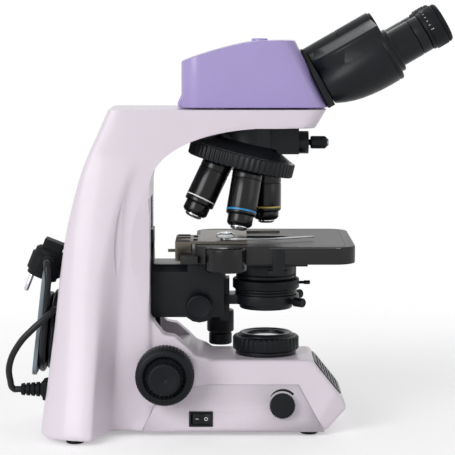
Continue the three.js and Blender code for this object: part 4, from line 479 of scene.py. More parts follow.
# %% Plug
PLUG_PLACE = Matrix.Translation((-225.2, -3, 151)) @ Matrix.Rotation(math.radians(22), 4, "Y")
barrel = turned([(0, 0), (14.6, 0), (15.3, 0.7), (15.3, 4.6), (16.6, 4.6), (17.4, 5.4), (17.4, 22), (16.4, 23),
                 (15.6, 23.2), (15.4, 27.5), (12.5, 30), (0, 30)], 96, edge=0.3)
barrel = combined("INTERSECT", barrel, block((-17.6, 17.6), (-15.9, 15.9), (-1, 31)))
rounded(barrel, 0.5, 2, sharper_than=35)
handle = slab(rectangle(20.4, 22, 2.2, 5), 4, 38.8)
for v in handle.verts:
    if v.co.z < 5:
        v.co.xy *= 0.9
rounded(handle, 0.9, 3)
side_boot = placed(turned([(0, 6), (6.6, 6), (6.6, 15.8), (5.7, 16.2), (5.5, 21), (4.9, 29.6), (4.3, 30.3), (0, 30.3)], 48,
                          edge=0.3), Matrix.Rotation(math.pi / 2, 4, "X"), Matrix.Translation((1.6, 0, 20.4)))
plug_body = piece("plug_body", placed(gathered(barrel, handle, side_boot), PLUG_PLACE), soft_black, "stand",
                  ["mains_plug"])
pins = [placed(turned([(0, -19), (1.5, -19), (2.4, -17.6), (2.4, 1), (0, 1)], 32, edge=0.2),
               Matrix.Translation((side * 9.5, 0, 0))) for side in (-1, 1)]
plug_pins = piece("plug_pins", placed(gathered(*pins), PLUG_PLACE), chrome, "stand")

hanger = piece("hanger_plate", eased("cord_hanger", 0.8, 3), hanger_grey, "stand", ["cord_hanger"])
print("connector, plug and hanger are ready")

# %% [markdown]
# ## The stand
#
# Base, column and arm are one aluminium casting. Its column flares towards the back, so it can't be
# extruded: level outlines are drawn one above the other and bridged. The outline has a flat side, a
# crease, and a flank that runs out to the rear corner; how far each reaches at a height is in the table.

# %% The column's outlines
FOOT_Z, ARM_TOP = 4.4, 320.0
COLUMN_FRONT, COLUMN_HALF, COLUMN_FLARE = -114.5, 55.0, 49.0
# share of the height, of the backward lean, of the sideways flare
COLUMN_LEVELS = [
    (0, 0.99, 1), (0.045, 0.975, 0.93), (0.13, 0.915, 0.77), (0.23, 0.858, 0.6), (0.32, 0.806, 0.47),
    (0.413, 0.76, 0.36), (0.508, 0.71, 0.27), (0.635, 0.62, 0.17), (0.793, 0.435, 0.06), (0.86, 0.32, 0.0),
    (0.913, 0.209, 0.0), (1.08, -0.13, 0),
]
# height, X of the crease on the side, X of the ridge on the flank, share of the width that the rear face has
FOLD = [
    (345, -122, -138, 0.9), (290, -122, -133, 0.88), (268, -123.5, -133, 0.86), (246, -131.9, -139.7, 0.83),
    (210, -137, -151.3, 0.78), (174, -138.5, -159.6, 0.75), (150, -140.9, -163.9, 0.73), (107, -145, -165.5, 0.7),
    (63, -148.7, -167.6, 0.67), (4.4, -150.5, -169.5, 0.63),
]


def between(table, t):
    """A row of the table at t, on a smooth curve through all rows; the first column is t."""
    rows = sorted(table)
    i = max(0, min(len(rows) - 2, sum(row[0] <= t for row in rows) - 1))

    def slope(k, column):
        before, after = rows[max(k - 1, 0)], rows[min(k + 1, len(rows) - 1)]
        return (after[column] - before[column]) / (after[0] - before[0])

    start, end = rows[i], rows[i + 1]
    step = end[0] - start[0]
    s = (t - start[0]) / step
    return [
        (2 * s ** 3 - 3 * s * s + 1) * start[c] + (3 * s * s - 2 * s ** 3) * end[c]
        + step * ((s ** 3 - 2 * s * s + s) * slope(i, c) + (s ** 3 - s * s) * slope(i + 1, c))
        for c in range(1, len(start))
    ]


def column_outline(height_share, inset=0.0, steps=14):
    """Level outline of the column at a share of its height, drawn in by inset."""
    lean, flare = between(COLUMN_LEVELS, height_share)
    z = FOOT_Z + height_share * (ARM_TOP - FOOT_Z)
    crease, ridge, corner = between(FOLD, z)
    flat = COLUMN_HALF - inset
    half = flat + max(flare, 0) * COLUMN_FLARE
    rear = -152 - lean * 69.5 + inset
    side = [(COLUMN_FRONT - inset, flat), ((COLUMN_FRONT + crease) / 2 - inset / 2, flat), (crease, flat)]
    for i in range(1, steps + 1):
        s = i / steps
        side.append((crease + s * (ridge - crease), flat + (half - flat) * (0.45 * s + 0.55 * s * s * (3 - 2 * s))))
    for i in range(1, steps + 1):
        angle = math.pi / 2 * i / steps
        side.append((ridge + (rear - ridge) * math.sin(angle), half * (corner + (1 - corner) * math.cos(angle))))
    side.append((rear, 0))
    return [(x, y, z) for x, y in side + [(x, -y) for x, y in reversed(side[:-1])]]


def bridged(outlines):
    """A closed skin through level outlines of equally many points."""
    shape = bmesh.new()
    loops = []
    for outline in outlines:
        verts = [shape.verts.new(point) for point in outline]
        loops.append([shape.edges.new((a, b)) for a, b in zip(verts, verts[1:] + verts[:1])])
    shape.faces.new([e.verts[0] for e in loops[0]])
    shape.faces.new([e.verts[0] for e in loops[-1]])
    for lower, upper in zip(loops, loops[1:]):
        bmesh.ops.bridge_loops(shape, edges=lower + upper)
    bmesh.ops.recalc_face_normals(shape, faces=shape.faces)
    return shape


column = bridged([column_outline(i / 44 * 1.02) for i in range(45)])
print("column:", len(column.faces), "faces")

# %% [markdown]
# The arm is the same thickness as the column and is drawn from the side: a straight top, a nose that
# slopes back, and the arch that runs down into the column's front. The base is a wedge with sloping
# sides, and the shoulder joins it to the column.

# %% Arm, base and shoulder
def curve_points(start, first, second, end, steps=26):
    """Points along a cubic curve, without its start."""
    points = []
    for i in range(1, steps + 1):
        t = i / steps
        weights = ((1 - t) ** 3, 3 * t * (1 - t) ** 2, 3 * t * t * (1 - t), t ** 3)
        points.append(tuple(sum(w * p[k] for w, p in zip(weights, (start, first, second, end))) for k in (0, 1)))
    return points


def from_side(outline, half):
    """An outline of (X, Z) points given its width about the middle plane."""
    return placed(slab([(x, z) for x, z in outline], -half, half), Matrix.Rotation(math.pi / 2, 4, "X"))


def sliced(shape, point, normal):
    """Cuts off what lies beyond a plane and closes the cut."""
    cut = bmesh.ops.bisect_plane(shape, geom=list(shape.verts) + list(shape.edges) + list(shape.faces),
                                 plane_co=point, plane_no=normal, clear_outer=True)
    edges = [e for e in cut["geom_cut"] if isinstance(e, bmesh.types.BMEdge)]
    bmesh.ops.holes_fill(shape, edges=edges)
    bmesh.ops.recalc_face_normals(shape, faces=shape.faces)
    return shape


def mirrored_cut(shape, point, normal):
    """The same cut on both sides of the middle plane."""
    sliced(shape, point, normal)
    return sliced(shape, (point[0], -point[1], point[2]), (normal[0], -normal[1], normal[2]))


def nose_edge(edge):
    """True for the two long edges of the arm's front."""
    first, second = edge.verts
    return min(first.co.x, second.co.x) > 40 and abs(first.co.y - second.co.y) < 0.1 and abs(first.co.z - second.co.z) > 10


inside = COLUMN_FRONT - 20
SPARE = 6
NOSE = [(47, 302), (57.5, ARM_TOP)]
spare_nose = (NOSE[1][0] + SPARE * (NOSE[1][0] - NOSE[0][0]) / (NOSE[1][1] - NOSE[0][1]), ARM_TOP + SPARE)
arm = from_side([(inside, ARM_TOP + SPARE), (inside, 236), (-100, 236), (-40, 290), (20, 302)] + NOSE[:1] + [spare_nose],
                COLUMN_HALF)
rounded(arm, 15, segments=8, only=nose_edge)
arch = [(COLUMN_FRONT, 246)] + curve_points((COLUMN_FRONT, 246), (-113, 272), (-80, 298), (-10, 302))

BASE_HALF, BASE_TOP_HALF, BASE_TOP = 57.5, 41.0, 73.0
SIDE_RUN, SIDE_FALL = BASE_TOP - FOOT_Z, BASE_HALF - BASE_TOP_HALF
base = from_side([(-130, FOOT_Z), (58.7, FOOT_Z), (79, 25), (77, 33), (44.7, BASE_TOP), (-130, BASE_TOP)], BASE_HALF)
mirrored_cut(base, (0, BASE_HALF, FOOT_Z), (0, SIDE_RUN, SIDE_FALL))
mirrored_cut(base, (44, BASE_HALF, FOOT_Z), (57.5 - 44, 35, 0))
shoulder = from_side([(inside, 30), (inside, 118), (-114.5, 118), (-101, 100), (-90, 98), (-76.5, 86), (-70, 79), (-61, 77),
                      (-50, 70), (-50, 30)], COLUMN_HALF)
mirrored_cut(shoulder, (0, 55, 30), (0, 88, 5))
mirrored_cut(shoulder, (-72, 55, 30), (14, 22, 0))
print("arm, base and shoulder are ready")

# %% [markdown]
# The four solids overlap, and a real casting has no seams between them: wherever they meet there is a
# small fillet from the mould. A voxel remesh melts them into one skin, and a few smoothing passes turn
# every edge into a soft one. After that the crisp features are cut: the top of the arm, the arch and the
# shallow facet beside it, the recess of the cover, the openings of the rail, the shaft and the switch, and
# the bores above and below the arm.

# %% Melt them into one casting
casting = cast(gathered(column, arm, base, shoulder), grid=2.0, passes=6)
print("casting:", len(casting.faces), "faces")

# %% Tools that cut the casting
def base_slope(inset, low=FOOT_Z, front=81):
    """The wedge between the base's sloping sides, drawn in by inset."""
    wedge = block((-130, front), (-BASE_HALF + inset, BASE_HALF - inset), (low, BASE_TOP))
    return mirrored_cut(wedge, (0, BASE_HALF - inset, FOOT_Z), (0, SIDE_RUN, SIDE_FALL))


def cover_side(grow=0.0):
    return [(-123 - grow, FOOT_Z - 2), (-123 - grow, FOOT_Z), (-109.5 - grow, 33), (-101 - grow, 49.4 + grow),
            (31.5 + grow, 49.4 + grow), (57 + grow, FOOT_Z), (57 + grow, FOOT_Z - 2)]


def on_left_side(shape, x, z):
    """Stands a shape, whose Z points outwards, on the base's left side."""
    y = -BASE_HALF + (z - FOOT_Z) * SIDE_FALL / SIDE_RUN
    tilt = math.pi / 2 - math.atan2(SIDE_FALL, SIDE_RUN)
    return placed(shape, Matrix.Rotation(tilt, 4, "X"), Matrix.Translation((x, y, z)))


def on_front_slope(shape):
    """Lays a shape, whose Z points outwards, on the slope between the nose and the base's top."""
    turn = Matrix.Rotation(math.atan2(BASE_TOP - 33, 77 - 44.7), 4, "Y")
    return placed(shape, turn, Matrix.Translation(((77 + 44.7) / 2, 0, (BASE_TOP + 33) / 2)))


def inner_column():
    rings = [column_outline(share, 8.0, steps=4) for share in (0.045, 0.13, 0.23, 0.32, 0.413, 0.508, 0.635, 0.793)]
    return bridged(rings)


def facet(side):
    """A flat cone whose edge draws the arc on the column's side, in front of which the casting falls away."""
    cone = turned([(0, -8), (76, -8), (121.8, 0), (138, 3), (138, 8), (0, 8)], 256, edge=0)
    lay = to_left(-10.8, 184, -COLUMN_HALF) if side == "left" else to_right(-10.8, 184, COLUMN_HALF)
    return placed(cone, lay)


cover_recess = combined("DIFFERENCE", from_side(cover_side(), 110), base_slope(2.8, low=FOOT_Z - 4))
tools = [
    block((-200, 80), (-70, 70), (ARM_TOP, ARM_TOP + 40)),
    from_side(arch + [(46, 302), (90, 300), (90, 124), (COLUMN_FRONT, 124)], 80),
    facet("left"),
    facet("right"),
    cover_recess,
    inner_column(),
    block((-185, -122.5), (-47, 47), (2, 30)),
    block((-124.5, 52), (-36, 36), (2, 66)),
    block((-124.5, -112), (-25, 25), (92, 232)),
    block((-114.5, -50), (-33.5, 33.5), (86, 130)),
    block((-113, -93.2), (-8.5, 8.5), (60, 90)),
    block((-197, 57), (-46.3, 46.3), (2, FOOT_Z + 2.9)),
    placed(turned([(0, -110), (5.8, -110), (5.8, 110), (0, 110)], 48, edge=0), to_left(-99.5, 63)),
    on_left_side(block((-11.9, 11.9), (-7.8, 7.8), (-24, 3)), -64.7, 16.6),
    on_left_side(turned([(0, -24), (3.3, -24), (3.3, 3), (0, 3)], 32, edge=0), 15.3, 29),
    turned([(0, 60), (24.4, 60), (24.4, 75), (0, 75)], 64, edge=0),
    turned([(0, 307.7), (24.4, 307.7), (24.4, 322), (0, 322)], 64, edge=0),
    turned([(0, 296), (10.5, 296), (10.5, 321), (0, 321)], 48, edge=0),
    placed(turned([(0, 240), (30.3, 240), (30.3, 302), (0, 302)], 64, edge=0), Matrix.Translation((-20, 0, 0))),
    on_front_slope(slab(rectangle(42.6, 72.6, 10), -3, 3)),
    block((-226, -192.3), (-49.3, -20.7), (31.4, 54)),
]
casting = combined("DIFFERENCE", casting, *tools)
stand_casting = piece("stand_casting", casting, enamel, "stand", ["stand_frame"], smooth=38)
print("stand:", len(stand_casting.data.polygons), "faces after the cuts")

# %% [markdown]
# The cover plate, the grille and the feet are small, but they give the base its scale. The cover is
# folded sheet that lies flush in its recess: the dark hairline round it is the real gap between two
# parts, so it isn't painted. The CAD shape is right and only needs its finish.

# %% Cover, grille, feet and inlet
cover_plate = piece("cover_plate", eased("base_cover", 0.35, 2), enamel, "stand", ["base_cover"])

grille = slab(rectangle(42, 72, 10), -2.7, 0.9)
rounded(grille, 0.5, 3)
slots = [slab(rectangle(2.2, 54, 1.05, 6), -1.2, 4) for _ in range(7)]
for number, slot_tool in enumerate(slots):
    placed(slot_tool, Matrix.Translation(((number - 3) * 5.0, 0, 0)))
grille = combined("DIFFERENCE", grille, *slots)
piece("air_grille", on_front_slope(grille), plastic_black, "stand", ["front_grille"])

for node, x, y in (("rear_foot_left", -186, -84), ("rear_foot_right", -186, 84), ("front_foot_left", 42, -42),
                   ("front_foot_right", 42, 42)):
    foot = turned([(0, 0), (7.6, 0), (9, 1.2), (9, 4.1), (0, 4.1)], 64, edge=0.3)
    piece("rubber_" + node, placed(foot, Matrix.Translation((x, y, 0))), soft_black, "stand", [node])

piece("inlet_socket", eased("power_inlet", 0.35), plastic_black, "stand", ["power_inlet"])
keep("focus_rail", anodised)
keep("led_module", steel)
keep("coarse_shaft", steel)
print("cover, grille, four feet and the inlet are in place")

# %% [markdown]
# ## Switch and brightness control
#
# The rocker has a shallow V face and stands tipped, with a dash on one half and a circle on the other.
# The marks are printed, so they are thin flat meshes that stand a few hundredths of a millimetre proud
# and ride with the rocker.

# %% Switch
bezel = slab(rectangle(22.9, 14.7, 1.0, 5), -13, 1.3)
bezel = combined("DIFFERENCE", bezel, slab(rectangle(19, 11.2, 0.6, 4), -9, 4))
piece("switch_frame", on_left_side(rounded(bezel, 0.3, 2), -64.7, 16.6), plastic_black, "stand",
      ["switch_bezel"])

ROCKER_TIP = math.radians(6.4)
rocker_turn = (Matrix.Translation((0, 0, 3)), Matrix.Rotation(ROCKER_TIP, 4, "Y"), Matrix.Translation((0, 0, -3)))
rocker_outline = [(-8.9, 2.7), (-4.4, 1.2), (0, 0.6), (4.4, 1.2), (8.9, 2.7), (4.4, -7.0), (-4.4, -7.0)]
rocker = placed(rounded(from_side(rocker_outline, 5.3), 0.45, 3), *rocker_turn)
piece("switch_rocker", on_left_side(rocker, -64.7, 16.6), plastic_black, "rocker", ["power_rocker"])

FACE_SLOPE = math.atan2(1.9, 8.9)
dash = slab(rectangle(3.2, 0.55), 0, 0.12)
circle = combined("DIFFERENCE", slab(rectangle(3.5, 3.5, 1.75, 12), 0, 0.12), slab(rectangle(2.3, 2.3, 1.15, 12), -1, 1))
for name, mark, x, side in (("dash_mark", dash, -4.3, 1), ("circle_mark", circle, 4.6, -1)):
    placed(mark, Matrix.Rotation(side * FACE_SLOPE, 4, "Y"), Matrix.Translation((x, 0, 1.5 if side > 0 else 1.55)), *rocker_turn)
    piece(name, on_left_side(mark, -64.7, 16.6), white_ink, "rocker")

# %% Brightness knob and its printed arc
dimmer = turned([(0, 0.5), (11.8, 0.5), (12.8, 1.2), (12.8, 10.6), (12.0, 12.1), (11.3, 12.5), (0, 12.5)], 192, edge=0.25)
gripped(dimmer, 12.8, 0.7, 12.1, 32, 0.75, 1.0)
stem = turned([(0, -12), (3, -12), (3, 1), (0, 1)], 32, edge=0.2)
piece("brightness_wheel", on_left_side(gathered(dimmer, stem), 15.3, 29), knob_black, "dimmer",
      ["brightness_knob"])

arc = bmesh.new()
inner_edge, outer_edge = [], []
for i in range(25):
    share = i / 24
    angle = math.radians(143 - 98 * share)
    width = 0.3 + 2.1 * math.sin(math.pi * min(1, share / 1.5)) ** 0.8
    inner_edge.append(arc.verts.new((14.6 * math.cos(angle), 14.6 * math.sin(angle), 0.04)))
    outer_edge.append(arc.verts.new(((14.6 + width) * math.cos(angle), (14.6 + width) * math.sin(angle), 0.04)))
arc.faces.new(inner_edge + outer_edge[::-1])
bmesh.ops.recalc_face_normals(arc, faces=arc.faces)
extruded = bmesh.ops.extrude_face_region(arc, geom=list(arc.faces))
bmesh.ops.translate(arc, verts=[v for v in extruded["geom"] if isinstance(v, bmesh.types.BMVert)], vec=(0, 0, 0.06))
bmesh.ops.recalc_face_normals(arc, faces=arc.faces)
piece("brightness_arc", on_left_side(arc, 15.3, 29), black_ink, "stand")
print("switch and brightness control are ready")

# %% [markdown]
# ## Field lens
#
# Light leaves the base through a frosted lens in a black mount. Round it turns a ring with lands like
# those of a castle wall, which opens and closes the field diaphragm.

# %% Field lens mount, ring and glass
mount = turned([
    (0, 60.3), (24, 60.3), (24, 73.3), (30.5, 73.3), (30.5, 77.0), (29.9, 77.6), (27.6, 77.6), (27.6, 92.6), (26.4, 94.2),
    (25.2, 95), (22.6, 95), (21.4, 93.9), (19.6, 93.6), (19.0, 93.0), (18.8, 84.6), (0, 83.2),
], 128, edge=0.3)
mount = combined("DIFFERENCE", mount, turned([(0, 59), (17, 59), (17, 82.6), (0, 82.6)], 64, edge=0))
piece("lens_mount", mount, casting_black, "stand", ["field_lens_mount"])

field_ring = turned([
    (27.9, 78.1), (32.4, 78.1), (33.2, 78.9), (33.2, 90.0), (31.9, 91.2), (29.9, 91.9), (27.9, 91.9), (27.9, 78.1),
], 288, edge=0.25)
gripped(field_ring, 33.2, 79.2, 90.8, 36, 1.4, 2.2)
piece("diaphragm_ring", field_ring, knob_black, "field_diaphragm", ["field_ring"])

glass = turned([(0, 84.4), (18.6, 84.4), (18.6, 90.4), (17.6, 91.0), (13, 91.7), (7, 92.1), (0, 92.3)], 96,
               edge=0.2, segments=3)
piece("field_glass", glass, frosted_glass, "stand", ["field_lens"])

# %% [markdown]
# ## Focusing
#
# The coarse knob is a cup: a rim with narrow grooves, a plain front ring, and a ribbed dish round the
# fine knob. The fine knob's face is dished to the fingertip and has a small dimple in its centre.

# %% Focusing knobs
COARSE_LOW, COARSE_HIGH = 57.3, 84.3
COARSE_RADIUS = 28.7


def coarse_shape():
    """The knob stands on Z = 0 and its front is towards +Z."""
    high = COARSE_HIGH - COARSE_LOW
    shape = turned([
        (5.3, 0), (26.6, 0), (27.8, 0.8), (28.0, 2.4), (28.7, 3.4), (28.7, 19.6), (28.3, 20.4), (27.0, 20.9), (26.5, 21.4),
        (26.5, 22.2), (27.1, 22.8), (27.3, 24.2), (26.6, 25.6), (24.8, 26.4), (21.8, high), (21.0, 26.8), (20.6, 26.1),
        (18.4, 24.9), (17.4, 24.6), (5.3, 24.6), (5.3, 0),
    ], 400, edge=0.2)
    gripped(shape, COARSE_RADIUS, 3.0, 20.2, 50, 0.9, 5.0)
    for v in shape.verts:
        reach = math.hypot(v.co.x, v.co.y)
        if 18.2 < reach < 20.9 and v.co.z > 24.4:
            wave = max(0.0, math.cos(30 * math.atan2(v.co.y, v.co.x))) ** 0.7
            v.co.z -= 1.5 * wave * min(1, (20.9 - reach) / 0.6)
    return shape


def fine_shape():
    """The fine knob on its own seat, Z = 0 at the coarse knob's face."""
    return turned([(0, 0), (7.5, 0), (14.4, 0.3), (15.3, 1.4), (15.5, 2.4), (15.5, 9.0), (15.1, 10.1), (14.3, 10.8),
                   (13.2, 11.0), (11.4, 10.75), (8.5, 10.3), (5.0, 9.95), (2.9, 9.85), (2.3, 9.6), (1.7, 9.1), (1.0, 8.9),
                   (0, 9.5)], 128, edge=0.15)


FINE_SEAT = 82.5
for side, lay in (("left", to_left), ("right", to_right)):
    piece("coarse_grip_" + side, placed(coarse_shape(), lay(-99.5, 63), Matrix.Translation(
        (0, -COARSE_LOW if side == "left" else COARSE_LOW, 0))), knob_black, "coarse_drive",
        ["coarse_knob_" + side], smooth=40)
    fine = fine_shape()
    if side == "right":
        shaft = turned([(0, -2 * FINE_SEAT - 7), (2.6, -2 * FINE_SEAT - 7), (3, -2 * FINE_SEAT - 6.6), (3, 1), (0, 1)], 32,
                       edge=0)
        fine = gathered(fine, shaft)
    else:
        fine = combined("DIFFERENCE", fine, turned([(0, -1), (3.3, -1), (3.3, 7.3), (0, 7.3)], 32, edge=0))
    node = "fine_shaft" if side == "right" else "fine_knob_left"
    piece("fine_grip_" + side, placed(fine, lay(-99.5, 63), Matrix.Translation(
        (0, -FINE_SEAT if side == "left" else FINE_SEAT, 0))), knob_black, "fine_drive", [node])

piece("carrier_block", eased("focus_carrier", 0.7, 3), casting_black, "carriage", ["focus_carrier"])
print("knobs and carrier are ready")

# %% [markdown]
# ## Stage
#
# The table is a shallow tray turned upside down. Its top has a faint step where the coating was masked,
# and a thin steel strip along its upper edge is a painted highlight. The slide holder is thin plate with a
# bronze-grey finish, a sprung steel finger and a knurled nut.

# %% Table
STAGE_REAR, STAGE_FRONT, STAGE_HALF, STAGE_LOW, STAGE_TOP = -70, 85, 82, 173, 190


def stage_outline(inset, corner):
    width, depth = STAGE_FRONT - STAGE_REAR - 2 * inset, 2 * (STAGE_HALF - inset)
    middle = (STAGE_FRONT + STAGE_REAR) / 2
    return [(x + middle, y) for x, y in rectangle(width, depth, corner, 12)]


table = slab(stage_outline(0, 20), STAGE_LOW, STAGE_TOP)
rounded(table, 1.0, 3)
table = combined(
    "DIFFERENCE", table,
    slab(stage_outline(4, 16), STAGE_LOW - 2, STAGE_TOP - 5),
    slab([(x - 13, y) for x, y in rectangle(74, 31, 15.4, 16)], 170, 193),
    combined("DIFFERENCE", slab(stage_outline(9, 12), STAGE_TOP - 0.25, STAGE_TOP + 1),
             slab(stage_outline(9.7, 11.5), STAGE_TOP - 2, STAGE_TOP + 2)),
)
runners = [rounded(block((-62, 40), (y, y + 6), (172.9, 185.2)), 0.4) for y in (-41, 35)]
rail = rounded(block((-84, -67), (-79, 79), (173, 181)), 0.6, 3)
knob_mount = placed(turned([(5.8, 156), (8.0, 156), (8.5, 156.5), (8.5, 185.2), (5.8, 185.2), (5.8, 156)], 48, edge=0),
                    Matrix.Translation((-46, 73.5, 0)))
table = combined("UNION", gathered(table, rail), *runners)
piece("table_deck", gathered(table, knob_mount), stage_grey, "table", ["stage_table"], smooth=30)

housing = turned([(0, 166), (18.7, 166), (20.5, 167.6), (20.5, 187.9), (19.6, 189.2), (18.6, 189.7), (0, 189.7)], 96,
                 edge=0.35, segments=3)
housing = combined("DIFFERENCE", placed(housing, Matrix.Translation((-40, -76, 0))),
                   block((-70, 90), (-77.7, -40), (180, 192)), block((-58, 80), (-61, -40), (160, 192)))
piece("cross_housing", housing, barrel_black, "table")
bracket = gathered(
    rounded(block((4.75, 15.25), (-84, -81.9), (162.6, 187)), 0.35, 3),
    rounded(block((0.5, 19.5), (-83.4, -76), (162.8, 167.4)), 0.6, 3),
)
piece("deck_bracket", bracket, casting_black, "table")
# A thin steel strip along the table's upper edge: a painted highlight.
deck_highlight_strip = slab([(2.0, -82.0), (70, -82.0), (70, -81.6), (2.0, -81.6)], 188.75, 189.15)
piece("deck_painted_highlight_strip", deck_highlight_strip, steel, "table")

bed = eased("stage_bed", 0.5, 2)
piece("lower_bed", bed, casting_black, "carriage", ["stage_bed"])

# %% Slide holder, finger and nut
holder = eased("slide_holder", 0.3, 2)
piece("holder_plate_body", holder, holder_bronze, "holder", ["slide_holder"])
holder_tabs = gathered(*[rounded(block((-88, -75.5), (y, y + 3.2), (192.4, 193.6)), 0.25) for y in (-54, -27, -5)])
piece("holder_screws", gathered(holder_tabs, *[
    placed(turned([(0, 192.4), (2.3, 192.4), (2.3, 193.5), (1.9, 193.9), (0, 193.9)], 24, edge=0.1),
           Matrix.Translation((-70, y, 0))) for y in (-44, -16)]), casting_black, "holder")

finger = eased("spring_finger", 0.25, 2)
piece("finger_blade", finger, steel, "finger", ["spring_finger"])
nut_low = 194.85
nut = turned([(2.7, 0), (8.0, 0), (8.8, 0.7), (8.8, 3.4), (8.3, 4.0), (6.6, 4.4), (6.3, 5.2), (2.7, 5.2), (2.7, 0)], 240,
             edge=0.2)
gripped(nut, 8.8, 0.9, 3.3, 40, 0.4, 1.2)
piece("holder_thumb_nut", placed(nut, Matrix.Translation((-40.5, -42, nut_low))), chrome, "finger_nut",
      ["holder_nut"])

# %% Stage knobs
upper = turned([(3.6, 83), (12.9, 83), (14, 84.2), (14, 104.8), (12.9, 106), (5.5, 106), (5.5, 183.4), (3.6, 183.4), (3.6, 83)],
               224, edge=0.25)
gripped(upper, 14, 84.5, 104.6, 28, 0.9, 1.6)
lower = turned([(0, 70), (10.9, 70), (12, 71.2), (12, 80.8), (10.9, 82), (3.2, 82), (3.2, 183.4), (0, 183.4)], 224, edge=0.25)
gripped(lower, 12, 71.5, 80.5, 28, 0.8, 1.6)
for name, knob, body, node in (("upper_stage_grip", upper, "table_knob", "stage_upper_knob"),
                               ("lower_stage_grip", lower, "holder_knob", "stage_lower_knob")):
    piece(name, placed(knob, Matrix.Translation((-46, 73.5, 0))), knob_black, body, [node])
print("stage, holder and knobs are ready")

# %% [markdown]
# ## Condenser
#
# The condenser rides on its own slide in front of the carrier. Its knurled ring opens the aperture
# diaphragm, and two short screws centre it.

# %% Condenser
piece("condenser_arm", eased("condenser_carrier", 0.6, 3), casting_black, "condenser", ["condenser_carrier"])
condenser = turned([(0, 119.5), (25.4, 119.5), (26.6, 120.6), (26.6, 134.3), (31, 134.3), (31, 136.4), (30.2, 136.8),
                    (30.2, 137.4), (31, 137.8), (31, 139.2), (27, 139.2), (27, 150.4), (30, 150.4), (30, 153.4), (29.2, 153.9),
                    (29.2, 154.5), (30, 155), (30, 164), (28.8, 165.2), (26.4, 165.2), (25.6, 164.4), (16.4, 164.4), (14.6, 166),
                    (12.2, 173.5), (11, 179.2), (11, 186.4), (10.3, 187.2), (7.9, 187.2), (7.2, 186.6), (0, 186.2)], 128, edge=0.3)
screw_bores = [placed(turned([(0, 21.2), (2.5, 21.2), (2.5, 34), (0, 34)], 24, edge=0), Matrix.Rotation(math.pi / 2, 4, "Y"),
                      Matrix.Rotation(math.radians(side * 42), 4, "Z"), Matrix.Translation((0, 0, 128.6))) for side in (-1, 1)]
condenser = combined("DIFFERENCE", condenser, *screw_bores)
post = placed(turned([(0, 150.4), (5.6, 150.4), (5.6, 164.2), (4.8, 165.2), (0, 165.2)], 48, edge=0.3),
              Matrix.Translation((24.6, -5.6, 0)))
piece("condenser_lens_body", gathered(condenser, post), anodised, "condenser", ["condenser_body"])
top_lens = turned([(0, 186.3), (7.1, 186.3), (7.1, 186.8), (4, 187.1), (0, 187.2)], 64, edge=0)
piece("condenser_top_lens", top_lens, dark_glass, "condenser")

aperture = turned([(27.5, 139.6), (32.2, 139.6), (33.4, 140.6), (33.4, 148.7), (32.3, 149.7), (27.5, 149.7), (27.5, 139.6)], 768,
                  edge=0.2)
gripped(aperture, 33.4, 141, 148.4, 96, 0.7, 1.0)
lever = placed(turned([(0, 31.4), (1.5, 31.4), (1.5, 38), (2.0, 38.6), (2.0, 43.8), (1.4, 44.4), (0, 44.4)], 32, edge=0.2),
               Matrix.Rotation(math.pi / 2, 4, "Y"), Matrix.Translation((0, 0, 144.8)))
piece("aperture_grip", gathered(aperture, lever), knob_black, "aperture", ["aperture_ring"], smooth=45)

for side, sign in (("left", -1), ("right", 1)):
    screw = turned([(0, 28.2), (2.2, 28.2), (2.2, 37.5), (4.0, 37.5), (4.6, 38.1), (4.6, 48.2), (3.9, 49), (3.0, 49), (2.6, 48.5),
                    (0, 48.5)], 120, edge=0.15)
    gripped(screw, 4.6, 38.4, 48, 20, 0.35, 1.2)
    placed(screw, Matrix.Rotation(math.pi / 2, 4, "Y"), Matrix.Rotation(math.radians(sign * 42), 4, "Z"),
           Matrix.Translation((0, 0, 128.6)))
    piece("centring_grip_" + side, screw, knob_black, "centring_" + side, ["centring_screw_" + side])

knob = turned([(0, -14), (3, -14), (3, 0), (11.3, 0), (12.5, 1.2), (12.5, 13.4), (12.0, 14.4), (10.9, 15), (9.7, 14.9), (9.4, 14.5),
               (0, 14.3)], 192, edge=0.2)
gripped(knob, 12.5, 1.5, 13.2, 36, 0.5, 1.4)
piece("condenser_grip", placed(knob, to_left(-66.5, 126, -30.4)), knob_black, "condenser_drive", ["condenser_knob"])
print("condenser is ready")

# %% [markdown]
# ## Nosepiece and objectives
#
# The turret turns about an axis that leans 14 degrees, so the objective in use points straight down while
# the others swing clear. Each objective is turned, with a coloured band that tells its power.

# %% Nosepiece
APEX = Matrix.Translation((0, 0, 367.7)) @ Matrix.Rotation(math.radians(14), 4, "Y")


def on_port(shape, port):
    """Moves a shape from the optical axis, with the apex as origin, to a port of the turret."""
    return placed(shape, Matrix.Rotation(math.radians(-14), 4, "Y"), Matrix.Rotation(math.radians(72 * port), 4, "Z"), APEX)


turret = turned([
    (0, -116.4), (20, -112), (49, -104.4), (50.4, -108.3), (52.2, -108.3), (53.5, -107.2), (53.5, -95.6), (52.6, -94.5),
    (51.2, -94.3), (49.4, -93.4), (31.6, -84.6), (29.8, -84), (9, -84), (9, -88.5), (28, -88.5), (44, -97.5), (44, -100.4),
    (0, -111.6),
], 480, edge=0.22)
gripped(turret, 53.5, -107.6, -95.3, 60, 1.4, 1.0)
sockets = []
for port in range(5):
    socket = turned([(0, -115), (10.2, -115), (10.2, -106.1), (0, -106.1)], 32, edge=0)
    sockets.append(placed(socket, Matrix.Rotation(math.radians(-14), 4, "Y"),
                          Matrix.Rotation(math.radians(72 * port), 4, "Z")))
turret = placed(combined("DIFFERENCE", turret, *sockets), APEX)
piece("turret_body", turret, anodised, "nosepiece", ["turret"], smooth=40)
# A thin steel ring along the turret's upper edge: a painted highlight.
turret_highlight_ring = turned([(50.2, -94.3), (51.3, -94.6), (51.5, -94.2), (50.5, -93.7), (50.2, -94.3)], 240, edge=0)
piece("turret_painted_highlight_ring", placed(turret_highlight_ring, APEX), steel, "nosepiece", smooth=50)

